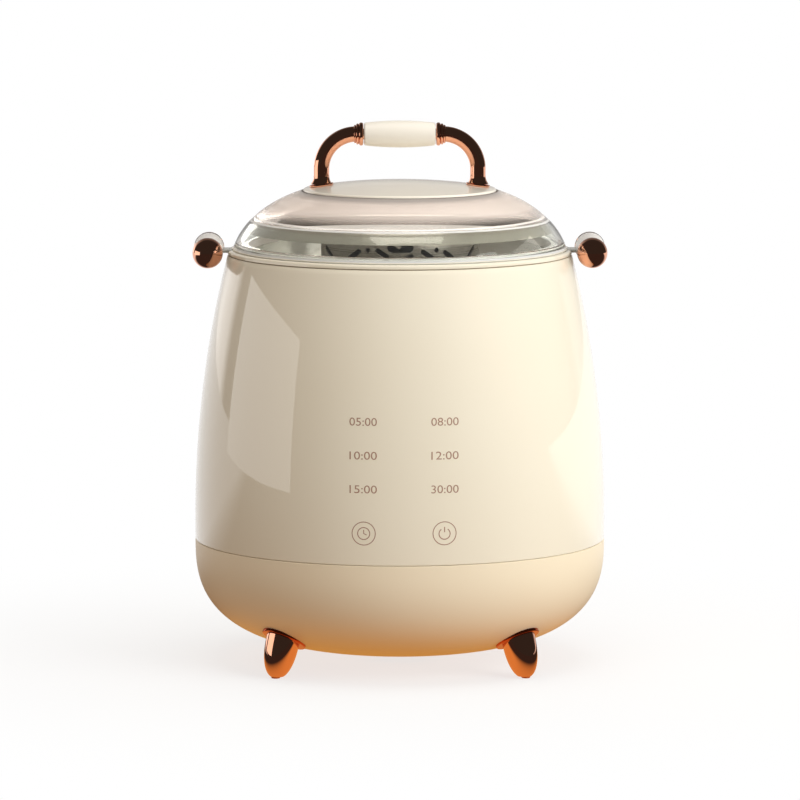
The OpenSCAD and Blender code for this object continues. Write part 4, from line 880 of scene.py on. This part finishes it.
def flat_text(words, width, height):
    """Numbers as a flat mesh of the given size in millimetres, centred."""
    curve = bpy.data.curves.new("words", "FONT")
    curve.body = words
    curve.resolution_u = 4
    holder = bpy.data.objects.new("words", curve)
    bpy.context.scene.collection.objects.link(holder)
    mesh = evaluated(holder)
    bpy.data.objects.remove(holder)
    low = [min(v.co[i] for v in mesh.vertices) for i in (0, 1)]
    high = [max(v.co[i] for v in mesh.vertices) for i in (0, 1)]
    for v in mesh.vertices:
        v.co = Vector(((v.co.x - (low[0] + high[0]) / 2) / (high[0] - low[0]) * width,
                       (v.co.y - (low[1] + high[1]) / 2) / (high[1] - low[1]) * height, 0))
    return mesh


def stroke(points, width, closed=False):
    """A flat line of the given width through points, in millimetres."""
    verts, faces, n = [], [], len(points)
    for i, p in enumerate(points):
        a = Vector(points[(i - 1) % n] if closed else points[max(i - 1, 0)])
        b = Vector(points[(i + 1) % n] if closed else points[min(i + 1, n - 1)])
        side = Vector((-(b - a).y, (b - a).x)).normalized() * width / 2
        verts += [(p[0] + side.x, p[1] + side.y, 0), (p[0] - side.x, p[1] - side.y, 0)]
    for i in range(n if closed else n - 1):
        j = (i + 1) % n
        faces.append((2 * i, 2 * j, 2 * j + 1, 2 * i + 1))
    mesh = bpy.data.meshes.new("stroke")
    mesh.from_pydata(verts, [], faces)
    return mesh


def round_line(r, a=0, b=360, count=64):
    return [(r * math.cos(math.radians(t)), r * math.sin(math.radians(t))) for t in steps(a, b, count)]


print_work = bmesh.new()


def add_print(mesh, x, z):
    first = len(print_work.verts)
    print_work.from_mesh(mesh)
    print_work.verts.ensure_lookup_table()
    for v in print_work.verts[first:]:
        v.co = onto_side(x + v.co.x, z + v.co.y)


TIMES = (("05:00", "08:00"), ("10:00", "12:00"), ("15:00", "30:00"))
for row, pair in enumerate(TIMES):
    for x, words in zip(TIME_X, pair):
        add_print(flat_text(words, *TIME_SIZE), PANEL_X + x, TIME_Z - ROW_STEP * row)
clock_x, power_x = (PANEL_X + x for x in KEY_X)
add_print(stroke(round_line(KEY_R)[:-1], KEY_LINE, True), clock_x, KEY_Z)
add_print(stroke(round_line(2.7)[:-1], 0.42, True), clock_x, KEY_Z)
add_print(stroke([(0, 1.7), (0, 0), (1.3, -0.6)], 0.42), clock_x, KEY_Z)
add_print(stroke(round_line(KEY_R)[:-1], KEY_LINE, True), power_x, KEY_Z)
add_print(stroke(round_line(2.5, 125, 415, 40), 0.45), power_x, KEY_Z - 0.2)
add_print(stroke([(0, 0.7), (0, 3.1)], 0.45), power_x, KEY_Z - 0.2)
print_mesh = bpy.data.meshes.new("panel_prints")
print_work.to_mesh(print_mesh)
print_work.free()
print_mesh.materials.append(PRINT)
belongs(keep("panel_prints", print_mesh), "base", "body_cream")


# ---- Stage, lamps and camera ------------------------------------------------------------

WHITE = (1, 1, 1, 1)


def stage_floor():
    """White to the camera but for the object's shadow; close to the object it glows warm from below."""
    p = Paint("stage_floor")
    far = p.reach()

    def fade(*ends):
        return p.ramp(far, *ends, curve="SMOOTHSTEP")

    def spread(near, away, start, end):
        return p.glow(p.between(fade(start, end), near, away))

    pale = p.node("ShaderNodeBsdfDiffuse", None, {"Color": (0.86, 0.85, 0.83, 1)})
    white = p.glow(WHITE)
    seen = p.mix(fade(0.05, 0.34, 0.72, 1.0), pale, white)
    bounce = spread((0.55, 0.225, 0.034, 1), (0.45, 0.4, 0.35, 1), 0.065, 0.21)
    warm = spread((0.85, 0.42, 0.12, 1), (0.04, 0.03, 0.028, 1), 0.074, 0.12)
    mirrored = p.mix(p.ramp(p.along("Y"), 0.1, 0.3), warm, white)
    return p.end(p.by_ray(bounce, ("Is Glossy Ray", mirrored),
                          ("Is Transmission Ray", p.glow((0.76, 0.75, 0.73, 1))),
                          ("Is Camera Ray", seen)))


def flat_piece(name, corners, material):
    mesh = bpy.data.meshes.new(name)
    mesh.from_pydata(corners, [], [tuple(range(len(corners)))])
    mesh.materials.append(material)
    piece = keep(name, mesh)
    return piece


flat_piece("floor", [(-7, -7, 0), (7, -7, 0), (7, 7, 0), (-7, 7, 0)], stage_floor())


def studio_world():
    """White to the camera and through the lid; shiny pieces see a dark room, bright behind at left."""
    world = bpy.data.worlds.new("studio")
    bpy.context.scene.world = world
    p = Paint("studio", world)

    def toward(axis, *ends):
        return p.ramp(p.along(axis, "Generated"), *ends)

    def light(colour, power):
        return p.node("ShaderNodeBackground", None, {"Color": colour, "Strength": power})

    left_low = toward("X", -0.5, -0.25, 1.6, 0.5) * toward("Z", 0.15, 0.4, 1.0, 0.2)
    glare = toward("Y", 0.56, 0.66) * left_low + 0.035
    through = light((1, 1, 0.98, 1), toward("X", -0.05, 0.05, 0.66, 0.86))
    p.end(p.by_ray(light((0.50, 0.43, 0.372, 1), 0.77),
                   ("Is Glossy Ray", light((1.0, 0.97, 0.94, 1), glare)),
                   ("Is Transmission Ray", through),
                   ("Is Camera Ray", light(WHITE, 1.0))), "ShaderNodeOutputWorld")


studio_world()


def softbox(name, bearing, height, away, size, power, colour=(1, 1, 1)):
    """A rectangular lamp, bearing in degrees from the front, to the right."""
    a = math.radians(bearing)
    place = Vector((away * math.sin(a), -away * math.cos(a), height))
    lamp = bpy.data.lights.new(name, "AREA")
    lamp.shape, lamp.size, lamp.size_y = "RECTANGLE", size[0], size[1]
    lamp.energy, lamp.color = power, colour
    holder = bpy.data.objects.new(name, lamp)
    bpy.context.scene.collection.objects.link(holder)
    holder.location = place
    toward_middle = Vector((0, 0, 0.12)) - place
    holder.rotation_euler = toward_middle.to_track_quat("-Z", "Y").to_euler()
    holder.visible_glossy = False


softbox("key", 54, 0.75, 1.7, (1.4, 1.0), 25, (0.96, 1.0, 1.02))
softbox("side_fill", 108, 0.5, 1.6, (0.8, 0.9), 6, (1.0, 0.98, 0.94))
softbox("top", 10, 1.6, 0.3, (1.0, 1.0), 10)
softbox("back_fill", 195, 0.7, 1.7, (1.2, 1.0), 9, (1.0, 0.98, 0.95))


def reflector(name, corners, colour, power, away=1.2):
    """A bright card that only shiny surfaces show; a corner is a bearing in degrees and a height."""
    p = Paint(name)
    card = flat_piece(name, [(away * math.sin(math.radians(a)), -away * math.cos(math.radians(a)), z)
                             for a, z in corners], p.end(p.glow(colour, power)))
    card.visible_camera = card.visible_diffuse = False
    card.visible_shadow = card.visible_transmission = False


reflector("left_window", [(-112, 0.045), (-62, 0.02), (-62, 0.39), (-112, 0.37)],
          (1.0, 0.99, 0.97, 1), 1.5)

CAMERA_AWAY, CAMERA_HEIGHT, CAMERA_DIP, CAMERA_TURN = 2.7096, 0.4475, 0.1199721, -0.5
FOCAL, FRAME_WIDTH, SENSOR = 5891.42, 800, 36.0

camera_data = bpy.data.cameras.new("camera")
camera = bpy.data.objects.new("camera", camera_data)
bpy.context.scene.collection.objects.link(camera)
bpy.context.scene.camera = camera
camera_data.sensor_width, camera_data.lens = SENSOR, SENSOR * FOCAL / FRAME_WIDTH
camera_data.clip_start, camera_data.clip_end = 0.1, 30
turn_by = math.radians(CAMERA_TURN)
camera.location = (CAMERA_AWAY * math.sin(turn_by), -CAMERA_AWAY * math.cos(turn_by), CAMERA_HEIGHT)
camera.rotation_euler = (math.radians(90) - CAMERA_DIP, 0, turn_by)
camera_data.shift_x = 0.25 / FRAME_WIDTH

bpy.context.scene.view_settings.view_transform = "Standard"
